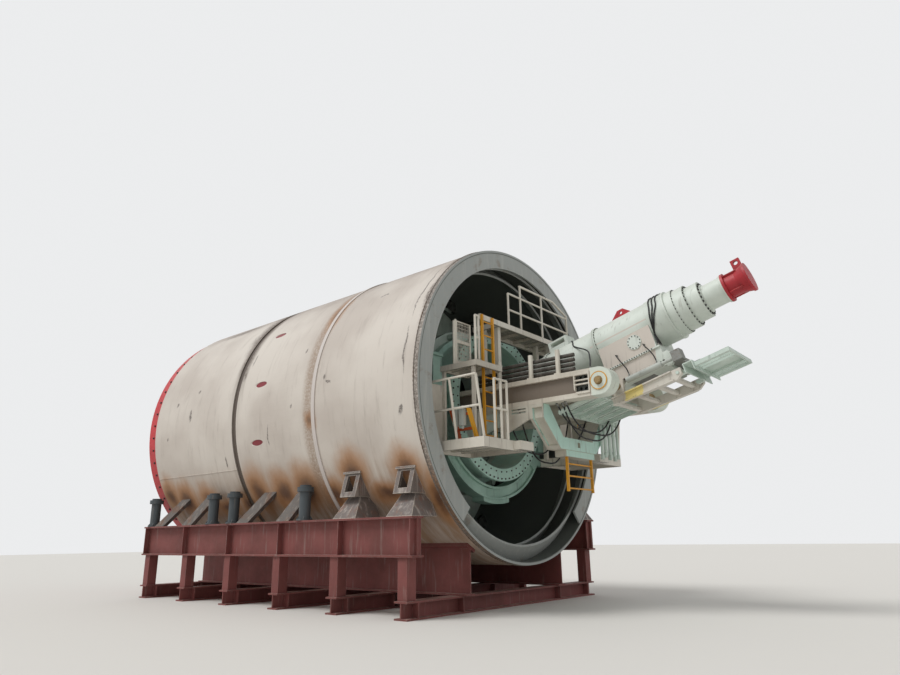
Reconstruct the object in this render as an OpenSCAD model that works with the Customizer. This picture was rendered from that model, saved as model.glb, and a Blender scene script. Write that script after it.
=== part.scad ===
// Earth pressure balance tunnel boring machine on its launch cradle.
// X runs along the machine, with the cutterhead at the -X end and the screw conveyor rising at +X.
// Inside the modules x = 0 is the rear rim of the tail shield and z = 0 is the machine axis.

/* [Shield] */
// Outside diameter of the shield
shield_d = 6600; // [6000:10:7200]
// Length of the front shield
front_len = 3580; // [3200:10:4000]
// Length of the middle shield
middle_len = 2760; // [2500:10:3200]
// Length of the tail shield
tail_len = 2920; // [2700:10:3400]
// Thickness of the shield skin
skin_t = 60; // [40:1:80]
// Width of the groove between front and middle shield
groove_w = 160; // [40:1:200]
// Depth of the groove between front and middle shield
groove_depth = 25; // [10:1:35]
// Height of the weld ridge between middle and tail shield
ridge_h = 20; // [6:1:30]
// Width of the weld ridge between middle and tail shield
ridge_w = 100; // [40:1:140]
// How far the tail seals reach in from the skin
seal_depth = 330; // [280:5:360]
// Angle at the invert where the last tail seal is left open
seal_open = 40; // [20:1:60]
// Diameter of the probe ports in the middle shield
port_d = 130; // [100:5:160]
// Height of the machine axis over the floor
axis_h = 4070; // [3900:10:4400]

/* [Bulkhead and drive] */
// Depth of the excavation chamber behind the shield's front edge
chamber_depth = 800; // [700:10:1000]
// Thickness of the bulkhead
bulkhead_t = 120; // [80:5:160]
// Diameter of the gear ring housing
drive_d = 2700; // [2400:10:2750]
// Length of the gear ring housing
drive_len = 500; // [400:10:600]
// Diameter of the circle of drive motors
motor_circle_d = 1500; // [1400:10:1560]
// Diameter of one drive motor
motor_d = 400; // [300:10:440]
// Number of drive motors
motor_count = 8; // [6:1:9]
// Length of one drive motor
motor_len = 1100; // [800:10:1200]

/* [Cutterhead] */
// How far the cutterhead's rim lies inside the shield's outside
head_in = 40; // [20:5:100]
// Depth of the cutterhead rim along the axis
rim_depth = 430; // [350:10:500]
// Radial thickness of the rim
rim_t = 170; // [120:5:220]
// Width of the chamfer at the rim's front edge
rim_chamfer = 90; // [60:5:110]
// Running gap between the shield's front edge and the cutterhead
head_gap = 40; // [20:1:60]
// Number of main spokes
spoke_count = 6; // [4:1:8]
// Width of a main spoke at the hub
spoke_w = 560; // [480:10:640]
// How much wider a spoke is at the rim than at the hub
spoke_flare = 160; // [60:10:240]
// Depth of a spoke along the axis
spoke_depth = 340; // [260:10:380]
// Diameter of the centre hub
hub_d = 1500; // [1200:10:1560]
// Radial length of the face panels between the spokes
panel_len = 720; // [500:10:900]
// Diameter of one of the legs that carry the spokes
leg_d = 380; // [300:10:440]
// Diameter of the circle of legs
leg_circle_d = 2100; // [1900:10:2200]
// Diameter of one disc cutter
disc_d = 430; // [380:5:440]
// Width of one disc cutter's ring
disc_w = 80; // [60:1:100]
// How far the disc cutters stand out of the face
disc_out = 120; // [100:1:140]
// How far the scraper teeth stand out of the face
tooth_out = 90; // [60:1:110]

/* [Thrust] */
// Number of thrust cylinders
thrust_count = 16; // [12:4:20]
// Distance of the circle of thrust cylinders from the inside of the skin
thrust_in = 270; // [250:5:290]
// Outside diameter of a thrust cylinder
thrust_d = 250; // [200:5:260]
// Diameter of a thrust rod
rod_d = 170; // [140:5:190]
// Length of a thrust cylinder
thrust_len = 2300; // [2100:10:2400]
// Stroke of the thrust cylinders
thrust_stroke = 1450; // [1200:10:1500]
// Radial height of a thrust shoe
shoe_h = 270; // [200:5:280]
// Width of a thrust shoe around the ring
shoe_w = 520; // [400:10:600]
// Thickness of a thrust shoe
shoe_t = 120; // [80:5:150]

/* [Main beams] */
// Distance over the outer faces of the two main beams
beams_over = 2480; // [2400:10:2500]
// Width of one main beam
beam_w = 300; // [240:10:340]
// Height of the main beam's top over the machine axis
beam_top = 120; // [80:5:160]
// Height of a main beam
beam_h = 500; // [420:10:520]
// Distance of the beam's end pin behind the tail rim
beam_end = 2440; // [2300:10:2600]
// Depth of the long recess in the beam's outer side
recess = 70; // [40:5:90]
// Diameter of the pin hole in the beam's end
beam_pin_d = 160; // [120:5:180]
// Diameter of the stub at each end of the beam pin
stub_d = 120; // [90:5:125]

/* [Erector] */
// Distance of the erector ring's rear face ahead of the tail rim
ring_back = 620; // [600:10:700]
// Inside diameter of the erector ring
ring_in_d = 2730; // [2700:5:2760]
// Wall of the erector ring's drum
drum_wall = 150; // [100:5:180]
// Radial height of the erector ring's flanges over its drum
flange_h = 110; // [80:5:130]
// Length of the erector ring's drum
ring_len = 860; // [700:10:900]
// Width of a lifting guide
guide_w = 260; // [220:5:280]
// Height of a lifting guide
guide_h = 1700; // [1500:10:1750]
// Diameter of a lifting ram
ram_d = 150; // [120:5:170]

/* [Screw conveyor] */
// Slope of the screw conveyor
screw_tilt = 15.7; // [14:0.1:17]
// Height of the screw conveyor's axis over the machine axis at the tail rim
screw_z = 189; // [150:1:230]
// Outside diameter of the screw casing
screw_d = 900; // [800:10:920]
// Height of the casing's flanges over its skin
casing_flange = 30; // [20:5:60]
// Place of the casing's rear flange along the screw axis
casing_end = 3200; // [3150:10:3300]
// Diameter of the drive drum
drum_d = 930; // [910:10:1040]
// Length of the drive drum along the screw axis
drum_len = 400; // [360:10:620]
// Diameter of the red end cap
cap_d = 540; // [480:10:600]
// Length of the red end cap
cap_len = 440; // [380:10:480]
// Width of the discharge gate's housing
gate_w = 960; // [920:10:1000]
// Depth of the discharge gate's housing under the casing
gate_drop = 520; // [280:10:560]

/* [Platforms] */
// Height of the guard rails over their platform
rail_h = 1080; // [1000:10:1150]
// How far the lower guard rails lean outwards
rail_lean = 200; // [100:10:220]
// Diameter of a guard rail tube
tube_d = 48; // [40:1:60]
// Distance of the lower platforms' outer edge from the tip of the tail seals
lower_in = 350; // [320:10:420]
// Height of the lower platform's deck over the machine axis
lower_z = -1080; // [-1100:10:-1000]
// Rear edge of the lower platforms behind the tail rim
lower_back = 880; // [820:10:920]
// Height of the middle platform's deck over the machine axis
middle_z = 440; // [400:10:480]
// Height of the upper platform's deck over the machine axis
upper_z = 1480; // [1440:10:1560]
// Width of the ladders
ladder_w = 340; // [300:10:360]
// Width of the mesh gate
gate_span = 470; // [380:5:475]

/* [Cradle] */
// Distance of a side beam's middle inside the shield's side
side_in = 280; // [260:5:310]
// Width of a side beam
side_w = 300; // [260:10:320]
// Height of the side beams' top over the floor
side_top = 1680; // [1620:10:1700]
// Height of a side beam
side_h = 680; // [560:10:700]
// Length of the side beams
side_len = 9310; // [9200:10:9600]
// Number of cross frames
frame_count = 6; // [5:1:8]
// Height of a cross beam
cross_h = 300; // [250:10:350]
// Angle of the cradle rails from the lowest line of the shield
rail_angle = 28; // [24:1:32]
// Width of a cradle rail around the shield
rail_w = 260; // [200:10:320]
// Thickness of a cradle rail
cradle_rail_t = 60; // [40:5:80]
// Diameter of a lifting jack's column
jack_d = 230; // [200:5:250]
// Height of a lifting jack over the side beam
jack_h = 690; // [600:10:700]

/* [Hidden] */
$fn = 96;
// clearance of seated pieces and of moving pieces
fit = 0.3;
run = 8;
plate = 30;

R = shield_d / 2;
inside_r = R - skin_t;
seal_r = inside_r - seal_depth;
thrust_r = inside_r - thrust_in;
frame_r = thrust_r - thrust_d / 2 - 105;
head_r = R - head_in;
floor_z = -axis_h;

x_seam2 = -tail_len;
x_seam1 = x_seam2 - middle_len;
x_front = x_seam1 - front_len;
x_bulk = x_front + chamber_depth;
head_back = x_front - head_gap;
head_front = head_back - rim_depth;
x_tip = head_front - disc_out;

screw_c = cos(screw_tilt);
screw_s = sin(screw_tilt);
// rings between the drum and the end cap: diameter, length along the screw axis
END_RINGS = [[880, 150], [820, 210], [700, 250], [480, 400]];
// length of the rings before ring i
function rings_to(i) = i == 0 ? 0 : rings_to(i - 1) + END_RINGS[i - 1][1];
rings_len = rings_to(len(END_RINGS));
screw_end = casing_end + drum_len + rings_len + cap_len;
x_rear = screw_end * screw_c + cap_d / 2 * screw_s;
x_shift = -(x_tip + x_rear) / 2;
// places of the casing's flanges along the screw axis
CASING_FLANGES = [900, 2050];
flange_t = 60;
cap_eye_r = 40;
cap_eye_t = 60;
cap_eye_back = 120;
cap_eye_n = 350;

beam_y = beams_over / 2 - beam_w / 2;
beam_bottom = beam_top - beam_h;
pin_z = beam_top - beam_h / 2;
frame_t = 350;
frame_x = x_seam2 - 280;
stub_len = 60;
boss_t = 15;
boss_r = 150;
// windows in the coupling plate near the beam's end: low edge and height over the beam's bottom, bolt holes
WINDOWS = [[100, 120, 2], [245, 50, 0], [320, 80, 2]];
window_w = 270;
window_back = 200;
coupling_t = 20;

// racks of pipes on the main beams
RACK_X = [260, 1000, 1600];
rack_h = 470;
rack_post_r = 45;
rack_y = beams_over / 2 - 62;
pipe_r = 38;
pipe_pitch = 90;
pipe_count = 4;

ring_x = -ring_back;
ring_in_r = ring_in_d / 2;
drum_r = ring_in_r + drum_wall;
ring_out_r = drum_r + flange_h;
lift_x = ring_x - 300;
guide_y = ring_out_r + 225;
carriage_t = 180;
carriage_r = ring_out_r + 180;
roller_d = 140;
roller_n = 8;
arc_r = ring_out_r + 375;
arc_h = 270;
arc_half = 58;
head_pad = 85;
pad_w = 900;

shoe_x = x_seam2 + 320;
cylinder_end = 40;
rod_in = 500;

deck_t = 180;
upper_t = 110;
joist = 60;
front_x = -440;
lower_out = seal_r - lower_in;
middle_out = lower_out - 390;
middle_back = 450;
lower_step = 160;
middle_in = beams_over / 2 + 110;
ladder_x = 250;
ladder_in = middle_in + 20;
ladder_rail = 40;
// the upper platform reaches out to the ladder on the far side only
upper_far = 1720;
upper_near = 1110;
stand_y = -lower_out + 370;
stand_h = 560;
stand_lean = 250;
mesh_x = -120;
mesh_h = 900;
hinge_y = -(middle_out - 40) + tube_d + fit;
wire_d = 10;

side_y = R - side_in;
side_z = side_top - axis_h;
side_back = 250;
side_x0 = -side_back - side_len;
cross_w = 300;
jack_y = side_y + 20;
// places of the lifting jacks along X
JACK_X = [-9310, -6630, -5800, -3300];
// inclined plate braces: x of the foot, width, how far the top lies towards +X
BRACES = [[-9060, 400, 560], [-7780, 420, 400], [-5500, 420, 480], [-4080, 420, 300]];
brace_h = 640;
brace_t = 110;
brace_lean = 360;
// big brackets in two parts: x of the middle
BRACKET_X = [-2040, -620];
bracket_w = 420;
bracket_h = 880;
bracket_lean = 250;
wedge_w = 520;
wedge_top_w = 340;
wedge_h = 400;
wedge_lean = 300;
// probe ports: angle from the horizontal, place along X; they run forwards at port_slant to the radius
port_slant = 73;
PORTS = [[34, -4900], [10, -4790], [-12.5, -4840]];

disc_reach = head_r - rim_t - hub_d / 2 - disc_d / 2;
pocket_w = 220;
pocket_len = disc_d + 50;
pocket_depth = disc_d - disc_out + 30;
discs_per_spoke = 4;
drive_flange = 200;
nose_h = 80;
tooth_pitch = 220;
tooth_w = 160;
gauge_count = 24;

gate_x0 = 2115;
gate_len = 1140;
gate_wall = 100;
gate_floor = -screw_d / 2 - gate_drop;
// two rows of flanges on the gate housing: how far out, and the height of their lower faces
gate_flange_t = 30;
hood_half = screw_d / 2;
hood_low = -screw_d / 2 - 150;
gate_mid = gate_floor + 70;
gate_cheek = 145;
gate_t = 60;
gate_seat = 60;
gate_rib_pitch = 170;
gate_cyl_d = 110;

conv_x = 2350;
conv_z = -430;
conv_len = 1370;
conv_y = 480;
conv_t = 80;
hinge_at = [1300, 15];
tip_pin_d = 60;
tip_len = 960;
tip_half = 600;

yoke_x = 970;
yoke_t = 300;
yoke_drop = 790;
yoke_foot = 120;

module on_axis() { translate([x_shift, 0, axis_h]) children(); }

// solid disc or tube about the machine axis, from xa to xb
module disc_x(r, xa, xb) { translate([xa, 0, 0]) rotate([0, 90, 0])
    cylinder(r = r, h = xb - xa, $fn = 240); }

module tube_x(ro, ri, xa, xb) {
    translate([xa, 0, 0]) rotate([0, 90, 0]) rotate_extrude($fn = 240)
        translate([ri, 0]) square([ro - ri, xb - xa]);
}

// sector of a tube about the machine axis, from angle a0 to a1, both measured from +Y towards +Z
module sector_x(ro, ri, xa, xb, a0, a1) {
    translate([xa, 0, 0]) rotate([a0, 0, 0]) rotate([90, 0, 90])
        rotate_extrude(angle = a1 - a0, $fn = 240) translate([ri, 0]) square([ro - ri, xb - xa]);
}

// outline in Y and Z, extruded along X from xa to xb
module slab_x(xa, xb) { translate([xa, 0, 0]) rotate([90, 0, 90]) linear_extrude(xb - xa) children(); }

// outline in X and Z, extruded along Y from ya to yb
module slab_y(ya, yb) { translate([0, yb, 0]) rotate([90, 0, 0]) linear_extrude(yb - ya) children(); }

module bar_y(r, x, z, ya, yb) { translate([x, ya, z]) rotate([-90, 0, 0])
    cylinder(r = r, h = yb - ya, $fn = 24); }
module bar_x(r, y, z, xa, xb) { translate([xa, y, z]) rotate([0, 90, 0])
    cylinder(r = r, h = xb - xa, $fn = 24); }
module bar_z(r, x, y, za, zb) { translate([x, y, za]) cylinder(r = r, h = zb - za, $fn = 24); }

// round bar from point a to point b
module bar(r, a, b) {
    v = b - a;
    translate(a) rotate([0, acos(v[2] / norm(v)), atan2(v[1], v[0])])
        cylinder(r = r, h = norm(v), $fn = 24);
}

module both_sides() {
    children();
    mirror([0, 1, 0]) children();
}

// block given by its low and high corners
module block(a, b) { translate(a) cube([b[0] - a[0], b[1] - a[1], b[2] - a[2]]); }

// outline of an I section, h high and w wide, flanges tf, web tw, standing on y = 0
module i_section(w, h, tf, tw) {
    translate([-w / 2, 0]) square([w, tf]);
    translate([-w / 2, h - tf]) square([w, tf]);
    translate([-tw / 2, 0]) square([tw, h]);
}

// frame of the screw conveyor: x along its axis, origin over the tail rim
module on_screw() { translate([0, 0, screw_z]) rotate([0, -screw_tilt, 0]) children(); }

// solid of revolution along the screw axis: radius r from place s, h long
module screw_disc(r, s, h) { translate([s, 0, 0]) rotate([0, 90, 0]) cylinder(r = r, h = h); }

module cradle_cross_frames() {
    frame_step = (side_len - cross_w - 200) / (frame_count - 1);
    color("#7a3b30") on_axis() for (i = [0 : frame_count - 1]) {
        x = side_x0 + 100 + cross_w / 2 + i * frame_step;
        translate([x, side_y + side_w / 2, floor_z]) rotate([90, 0, 0])
            linear_extrude(2 * side_y + side_w) i_section(cross_w, cross_h, plate, 24);
        both_sides() {
            slab_x(x - 110, x + 110) translate([side_y, floor_z + cross_h]) difference() {
                translate([-110, 0]) square([220, side_z - side_h - floor_z - cross_h]);
                for (s = [-1, 1]) translate([s * 110 - 50, -1]) square([100, side_z]);
            }
            block([x - 110, side_y - 110, floor_z + cross_h], [x - 90, side_y + 110, side_z - side_h]);
            block([x + 90, side_y - 110, floor_z + cross_h], [x + 110, side_y + 110, side_z - side_h]);
            for (y = [side_y - side_w / 2, 0.55 * side_y])
                block([x - cross_w / 2, y, floor_z], [x + cross_w / 2, y + 24, floor_z + cross_h]);
        }
    }
}

module cradle_side_beams() {
    stiffeners = frame_count;
    color("#7a3b30") on_axis() both_sides() {
        translate([side_x0, side_y, side_z - side_h]) rotate([90, 0, 90])
            linear_extrude(side_len) i_section(side_w, side_h, 36, 28);
        for (i = [0 : stiffeners - 1]) {
            x = side_x0 + 60 + i * (side_len - 120) / (stiffeners - 1);
            block([x - 10, side_y - side_w / 2 + 10, side_z - side_h],
                [x + 10, side_y + side_w / 2 - 10, side_z]);
        }
    }
}

module cradle_rails() {
    rail_r = R + fit + cradle_rail_t;
    half = rail_w / 2 / R * 180 / PI;
    girder_y = R * sin(rail_angle) + 40;
    xa = side_x0 + 300;
    xb = -side_back;
    color("#6f352b") on_axis() both_sides() difference() {
        union() {
            sector_x(rail_r, R + fit, xa, xb, -90 + rail_angle - half, -90 + rail_angle + half);
            difference() {
                union() {
                    block([xa, girder_y - 14, floor_z + cross_h], [xb, girder_y + 14, 0]);
                    block([xa, girder_y - 130, floor_z + cross_h],
                        [xb, girder_y + 130, floor_z + cross_h + plate]);
                }
                disc_x(rail_r - 1, side_x0, 0);
            }
        }
        disc_x(R + ridge_h + fit, x_seam2 - 20, x_seam2 + ridge_w + 20);
    }
}

module cradle_braces() {
    foot_y = side_y + side_w / 2 - 10;
    color("#5c5450") on_axis() both_sides() for (b = BRACES) difference() {
        intersection() {
            slab_y(side_y - 2 * brace_lean, foot_y) translate([b[0], side_z])
                polygon([[0, 0], [b[1], 0], [b[1] + b[2], brace_h], [b[2], brace_h]]);
            slab_x(b[0] - 10, b[0] + b[1] + b[2] + 10) translate([foot_y, side_z])
                polygon([[0, 0], [-brace_lean, brace_h], [-brace_lean - brace_t, brace_h],
                    [-brace_t, 0]]);
        }
        disc_x(R + fit, x_front, 0);
        disc_x(R + fit + 60, x_front - 400, x_front);
    }
}

// outline in Y and Z of a bracket that leans in from the side beam to the shield, by lean over its height h
module leaning(low, high, lean, h) {
    y0 = side_y + side_w / 2 - 10;
    polygon([[y0 - lean * low / h, side_z + low], [y0 - lean * high / h, side_z + high],
        [side_y - 520, side_z + high], [side_y - 520, side_z + low]]);
}

module cradle_wedges() {
    color("#5c5450") on_axis() both_sides() for (x = BRACKET_X) difference() {
        intersection() {
            slab_x(x - wedge_w, x + wedge_w) leaning(0, wedge_h, wedge_lean, wedge_h);
            slab_y(0, R) translate([x, side_z]) polygon([[-wedge_w / 2, 0], [wedge_w / 2 + 100, 0],
                [wedge_top_w / 2, wedge_h], [-wedge_top_w / 2, wedge_h]]);
        }
        disc_x(R + fit, x_front, 0);
    }
}

module shield_brackets() {
    half = bracket_w / 2;
    window_half = 115;
    window_low = 95;
    window_top = 400;
    wall = 60;
    lip = 30;
    color("#5c5450") on_axis() both_sides() for (x = BRACKET_X) difference() {
        union() {
            slab_x(x - half, x + half) leaning(wedge_h, bracket_h, bracket_lean, bracket_h);
            slab_x(x - half - lip, x + half + lip)
                leaning(bracket_h - 40, bracket_h, bracket_lean - 40, bracket_h);
        }
        slab_x(x - half + wall, x + half - wall) translate([-wall, 0])
            leaning(wedge_h + wall, bracket_h - wall, bracket_lean, bracket_h);
        block([x - window_half, side_y - 200, side_z + wedge_h + window_low],
            [x + window_half, side_y + side_w, side_z + wedge_h + window_top]);
        disc_x(R + fit, x_front, 0);
    }
}

module lifting_jacks() {
    cap_r = jack_d / 2 + 50;
    color("#3c4248") on_axis() both_sides() for (x = JACK_X) {
        translate([x, jack_y, side_z]) cylinder(d = jack_d + 90, h = plate, $fn = 48);
        translate([x, jack_y, side_z]) cylinder(d = jack_d, h = jack_h, $fn = 48);
        translate([x, jack_y, side_z + jack_h - 130]) cylinder(r = cap_r, h = 90, $fn = 48);
        for (a = [0, 90, 180, 270]) translate([x, jack_y, side_z]) rotate([0, 0, a + 45])
            rotate([90, 0, 0])
            translate([0, 0, -6]) linear_extrude(12)
                polygon([[0, 0], [jack_d / 2 + 40, 0], [jack_d / 2 + 40, 40], [0, 220]]);
    }
}

module front_shield() {
    color("#d9d2c4") on_axis() difference() {
        translate([x_front, 0, 0]) rotate([0, 90, 0]) rotate_extrude($fn = 240)
            polygon([[inside_r + 20, 0], [R - 8, 0], [R, 8], [R, front_len], [inside_r, front_len],
                [inside_r, 240]]);
        tube_x(R + 10, R - groove_depth, x_seam1 - groove_w / 2, x_seam1 + 10);
    }
}

module middle_shield() {
    color("#d9d2c4") on_axis() difference() {
        tube_x(R, inside_r, x_seam1, x_seam2);
        tube_x(R + 10, R - groove_depth, x_seam1 - 10, x_seam1 + groove_w / 2);
        both_sides() for (p = PORTS)
            translate([p[1], 0, 0]) rotate([p[0], 0, 0]) translate([0, R, 0]) rotate([0, 0, port_slant])
                rotate([-90, 0, 0])
                cylinder(d = port_d, h = 4 * port_d + 400, center = true, $fn = 32);
    }
}

module tail_shield() {
    color("#d9d2c4") on_axis() {
        tube_x(R, inside_r, x_seam2, 0);
        tube_x(R + ridge_h, R - 10, x_seam2, x_seam2 + ridge_w);
    }
}

// two rows of sloping seal plates and the last, flat one, which is open at the invert
module tail_seals() {
    color("#8f8a82") on_axis() for (x = [-850, -450])
        translate([x, 0, 0]) rotate([0, 90, 0]) rotate_extrude($fn = 240)
            polygon([[inside_r, 0], [inside_r, 60], [seal_r + 40, 330], [seal_r, 310],
                [inside_r - 60, 0]]);
    color("#8f8a82") on_axis() sector_x(inside_r, seal_r, -50, -5, -90 + seal_open, 270 - seal_open);
}

module bulkhead() {
    ribs = 12;
    color("#c9c5b8") on_axis() difference() {
        union() {
            disc_x(inside_r, x_bulk, x_bulk + bulkhead_t);
            for (i = [0 : ribs - 1]) rotate([360 / ribs * (i + 0.5), 0, 0])
                block([x_bulk + bulkhead_t - 1, -15, drive_d / 2 + 50],
                    [x_bulk + bulkhead_t + 240, 15, inside_r - 5]);
        }
        on_screw() screw_disc(screw_d / 2, x_front * 1.1, 3500);
    }
}

module main_drive() {
    drive_x = x_bulk + bulkhead_t;
    reducer = 0.45 * motor_len;
    color("#b9c4b8") on_axis() {
        disc_x(drive_d / 2, drive_x, drive_x + 90);
        disc_x(drive_d / 2 - 70, drive_x, drive_x + drive_len);
        for (i = [0 : motor_count - 1]) rotate([360 / motor_count * (i + 0.5), 0, 0])
            translate([drive_x + drive_len, 0, motor_circle_d / 2]) rotate([0, 90, 0]) {
                cylinder(d = motor_d, h = reducer, $fn = 32);
                cylinder(d = 0.75 * motor_d, h = motor_len, $fn = 32);
                translate([0, 0, reducer + 90]) cylinder(d = 0.85 * motor_d,
                    h = motor_len - reducer - 180, $fn = 32);
            }
    }
}

module thrust_ring() {
    color("#b9c4b8") on_axis() difference() {
        tube_x(inside_r - fit, frame_r, frame_x - frame_t, frame_x);
        thrust_places() disc_x(thrust_d / 2 + fit, frame_x - frame_t - 10, frame_x + 10);
    }
}

// places its child on each thrust cylinder's axis in the named quarters
module thrust_places(quarters = [0, 1, 2, 3]) {
    per = thrust_count / 4;
    for (q = quarters) for (i = [0 : per - 1]) {
        a = q * 90 - 45 + (i + 0.5) * 90 / per;
        rotate([a, 0, 0]) translate([0, 0, thrust_r]) children();
    }
}

module thrust_cylinders() {
    x1 = x_seam2 + cylinder_end;
    color("#c8cdc2") on_axis() thrust_places() difference() {
        disc_x(thrust_d / 2, x1 - thrust_len, x1);
        disc_x(rod_d / 2 + fit, x1 - thrust_len + 100, x1 + 10);
    }
}

module thrust_rams(quarter) {
    color("#d6d6d2") on_axis() thrust_places([quarter]) {
        disc_x(rod_d / 2, shoe_x - rod_in - thrust_stroke, shoe_x + 20);
        slab_x(shoe_x, shoe_x + shoe_t) polygon([[-shoe_w / 2, -shoe_h / 2], [shoe_w / 2, -shoe_h / 2],
            [shoe_w / 2, shoe_h / 2 - 60], [shoe_w / 2 - 60, shoe_h / 2], [60 - shoe_w / 2, shoe_h / 2],
            [-shoe_w / 2, shoe_h / 2 - 60]]);
    }
}

module thrust_rams_top() { thrust_rams(0); }
module thrust_rams_left() { thrust_rams(1); }
module thrust_rams_bottom() { thrust_rams(2); }
module thrust_rams_right() { thrust_rams(3); }

// H-shaped frame inside the thrust ring that carries the main beams
module beam_frame() {
    post_w = 360;
    cross_t = 350;
    color("#cfd6c8") on_axis() slab_x(frame_x - frame_t, frame_x) intersection() {
        circle(r = frame_r, $fn = 240);
        union() {
            for (s = [-1, 1]) translate([s * (beam_y + 20) - post_w / 2, -R]) square([post_w, 2 * R]);
            for (z = [-0.57 * R, 0.235 * R]) translate([-R, z - cross_t / 2]) square([2 * R, cross_t]);
        }
    }
}

module main_beams() {
    y0 = beam_y - beam_w / 2;
    y1 = beam_y + beam_w / 2;
    edge = 0.18 * beam_h;
    plate_x1 = beam_end - window_back + 25;
    plate_x0 = plate_x1 - window_w - 50;
    color("#d4cfc0") on_axis() both_sides() difference() {
        union() {
            block([frame_x, y0, beam_bottom], [beam_end, y1, beam_top]);
            translate([beam_end, y0, pin_z]) rotate([-90, 0, 0]) cylinder(r = beam_h / 2, h = beam_w);
            translate([beam_end, y0, pin_z]) rotate([-90, 0, 0])
                cylinder(r = boss_r, h = beam_w + boss_t);
            slab_y(y1 - recess, y1 + coupling_t)
                polygon([[plate_x0 + 60, beam_bottom + 60], [plate_x1, beam_bottom + 60],
                [plate_x1, beam_top - 40], [plate_x0, beam_top - 40], [plate_x0, beam_bottom + 150]]);
        }
        for (y = [y0 - 1, y1 - recess]) difference() {
            block([frame_x + 200, y, beam_bottom + edge],
                [beam_end - 300, y + recess + 1, beam_top - edge]);
            block([plate_x0 + 20, y1 - recess - 1, beam_bottom], [beam_end, y1 + 2, beam_top]);
        }
        for (w = WINDOWS) {
            z = beam_bottom + w[0];
            block([plate_x0 + 25, y1 - 60, z], [plate_x0 + 25 + window_w, y1 + coupling_t + 1, z + w[1]]);
            for (i = [0 : w[2] - 1]) translate([plate_x0 + 110 + i * 100, y1 - 120, z + w[1] / 2])
                rotate([-90, 0, 0])
                cylinder(d = min(60, w[1] - 10), h = 100, $fn = 32);
        }
        translate([beam_end, y0 - 1, pin_z]) rotate([-90, 0, 0])
            cylinder(d = beam_pin_d, h = beam_w + boss_t + 2);
    }
}

// pin in each main beam's end, which also carries the conveyor
module beam_pin() {
    half = beams_over / 2 + boss_t;
    inner = conv_y + 6;
    color("#9aa39a") on_axis() both_sides() translate([beam_end, 0, pin_z]) rotate([-90, 0, 0]) {
        translate([0, 0, inner]) cylinder(r = beam_pin_d / 2 - fit, h = half - inner);
        translate([0, 0, inner]) cylinder(d = stub_d, h = half + stub_len - inner);
    }
}

// places its child at each pipe's height
module pipe_places() {
    for (i = [0 : pipe_count - 1]) translate([0, rack_y - rack_post_r - pipe_r,
        beam_top + 75 + i * pipe_pitch]) children();
}

module pipe_racks() {
    color("#cfc9bb") on_axis() both_sides() difference() {
        for (x = RACK_X) {
            bar_z(rack_post_r, x, rack_y, beam_top, beam_top + rack_h);
            block([x - 60, rack_y - 60, beam_top], [x + 60, rack_y + 60, beam_top + 20]);
            block([x - 15, rack_y - rack_post_r - pipe_r, beam_top + 10],
                [x + 15, rack_y, beam_top + 60 + pipe_count * pipe_pitch]);
        }
        pipe_places() bar_x(pipe_r + fit, 0, 0, -400, 2000);
    }
}

module rack_pipes() {
    color("#5b5650") on_axis() both_sides() pipe_places() bar_x(pipe_r, 0, 0, -300, 1900);
}

// U-shaped frame under the beams, with sloping legs and a foot plate
module yoke_frame() {
    out = beams_over / 2;
    in = out - 200;
    low = beam_bottom - yoke_drop;
    color("#cfe6df") on_axis() {
        difference() {
            slab_x(yoke_x, yoke_x + yoke_t) difference() {
                polygon([[-out, beam_bottom], [-out, beam_bottom - 265], [-out + 560, low],
                    [out - 560, low],
                    [out, beam_bottom - 265], [out, beam_bottom]]);
                polygon([[-in, beam_bottom + 10], [-in + 230, beam_bottom - 280], [-in + 470, low + 230],
                    [in - 470, low + 230], [in - 230, beam_bottom - 280], [in, beam_bottom + 10]]);
            }
            slab_x(yoke_x + 60, yoke_x + yoke_t - 30) both_sides_2d()
                polygon([[-out - 10, beam_bottom - 60], [-out + 60, beam_bottom - 60],
                    [-out + 60, beam_bottom - 250],
                    [-out + 520, low + 90], [-out + 440, low - 10], [-out - 10, low - 10]]);
            block([yoke_x + yoke_t - 60, -50, low + 70], [yoke_x + yoke_t + 10, 50, low + 170]);
        }
        block([yoke_x + 20, -450, low - yoke_foot], [yoke_x + yoke_t - 30, 650, low + 1]);
        both_sides() difference() {
            slab_y(out - 40, out) polygon([[450, beam_bottom], [yoke_x + 10, beam_bottom],
                [yoke_x + 10, beam_bottom - 250],
                [450, beam_bottom - 470]]);
            for (i = [0, 1]) block([560, out - 50, beam_bottom - 70 - i * 60],
                [880, out + 10, beam_bottom - 40 - i * 60]);
        }
    }
}

module both_sides_2d() {
    children();
    mirror([1, 0]) children();
}

// slotted tray between the beams, parallel to the screw
module beam_tray() {
    half = beams_over / 2 - beam_w;
    slots = 5;
    pitch = 2 * half / slots;
    color("#cfe6df") on_axis() translate([1400, 0, -520]) rotate([0, -screw_tilt, 0]) difference() {
        union() {
            block([0, -half, 0], [880, half, 16]);
            for (i = [0 : slots]) block([0, -half + i * (2 * half - 30) / slots, -60],
                [880, -half + 30 + i * (2 * half - 30) / slots, 1]);
            for (x = [0, 850]) block([x, -half, -60], [x + plate, half, 1]);
        }
        for (i = [0 : slots - 1]) for (s = [0.3, 0.7])
            block([90, -half + (i + s) * pitch - 28, -5], [790, -half + (i + s) * pitch + 28, 20]);
    }
}

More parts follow.
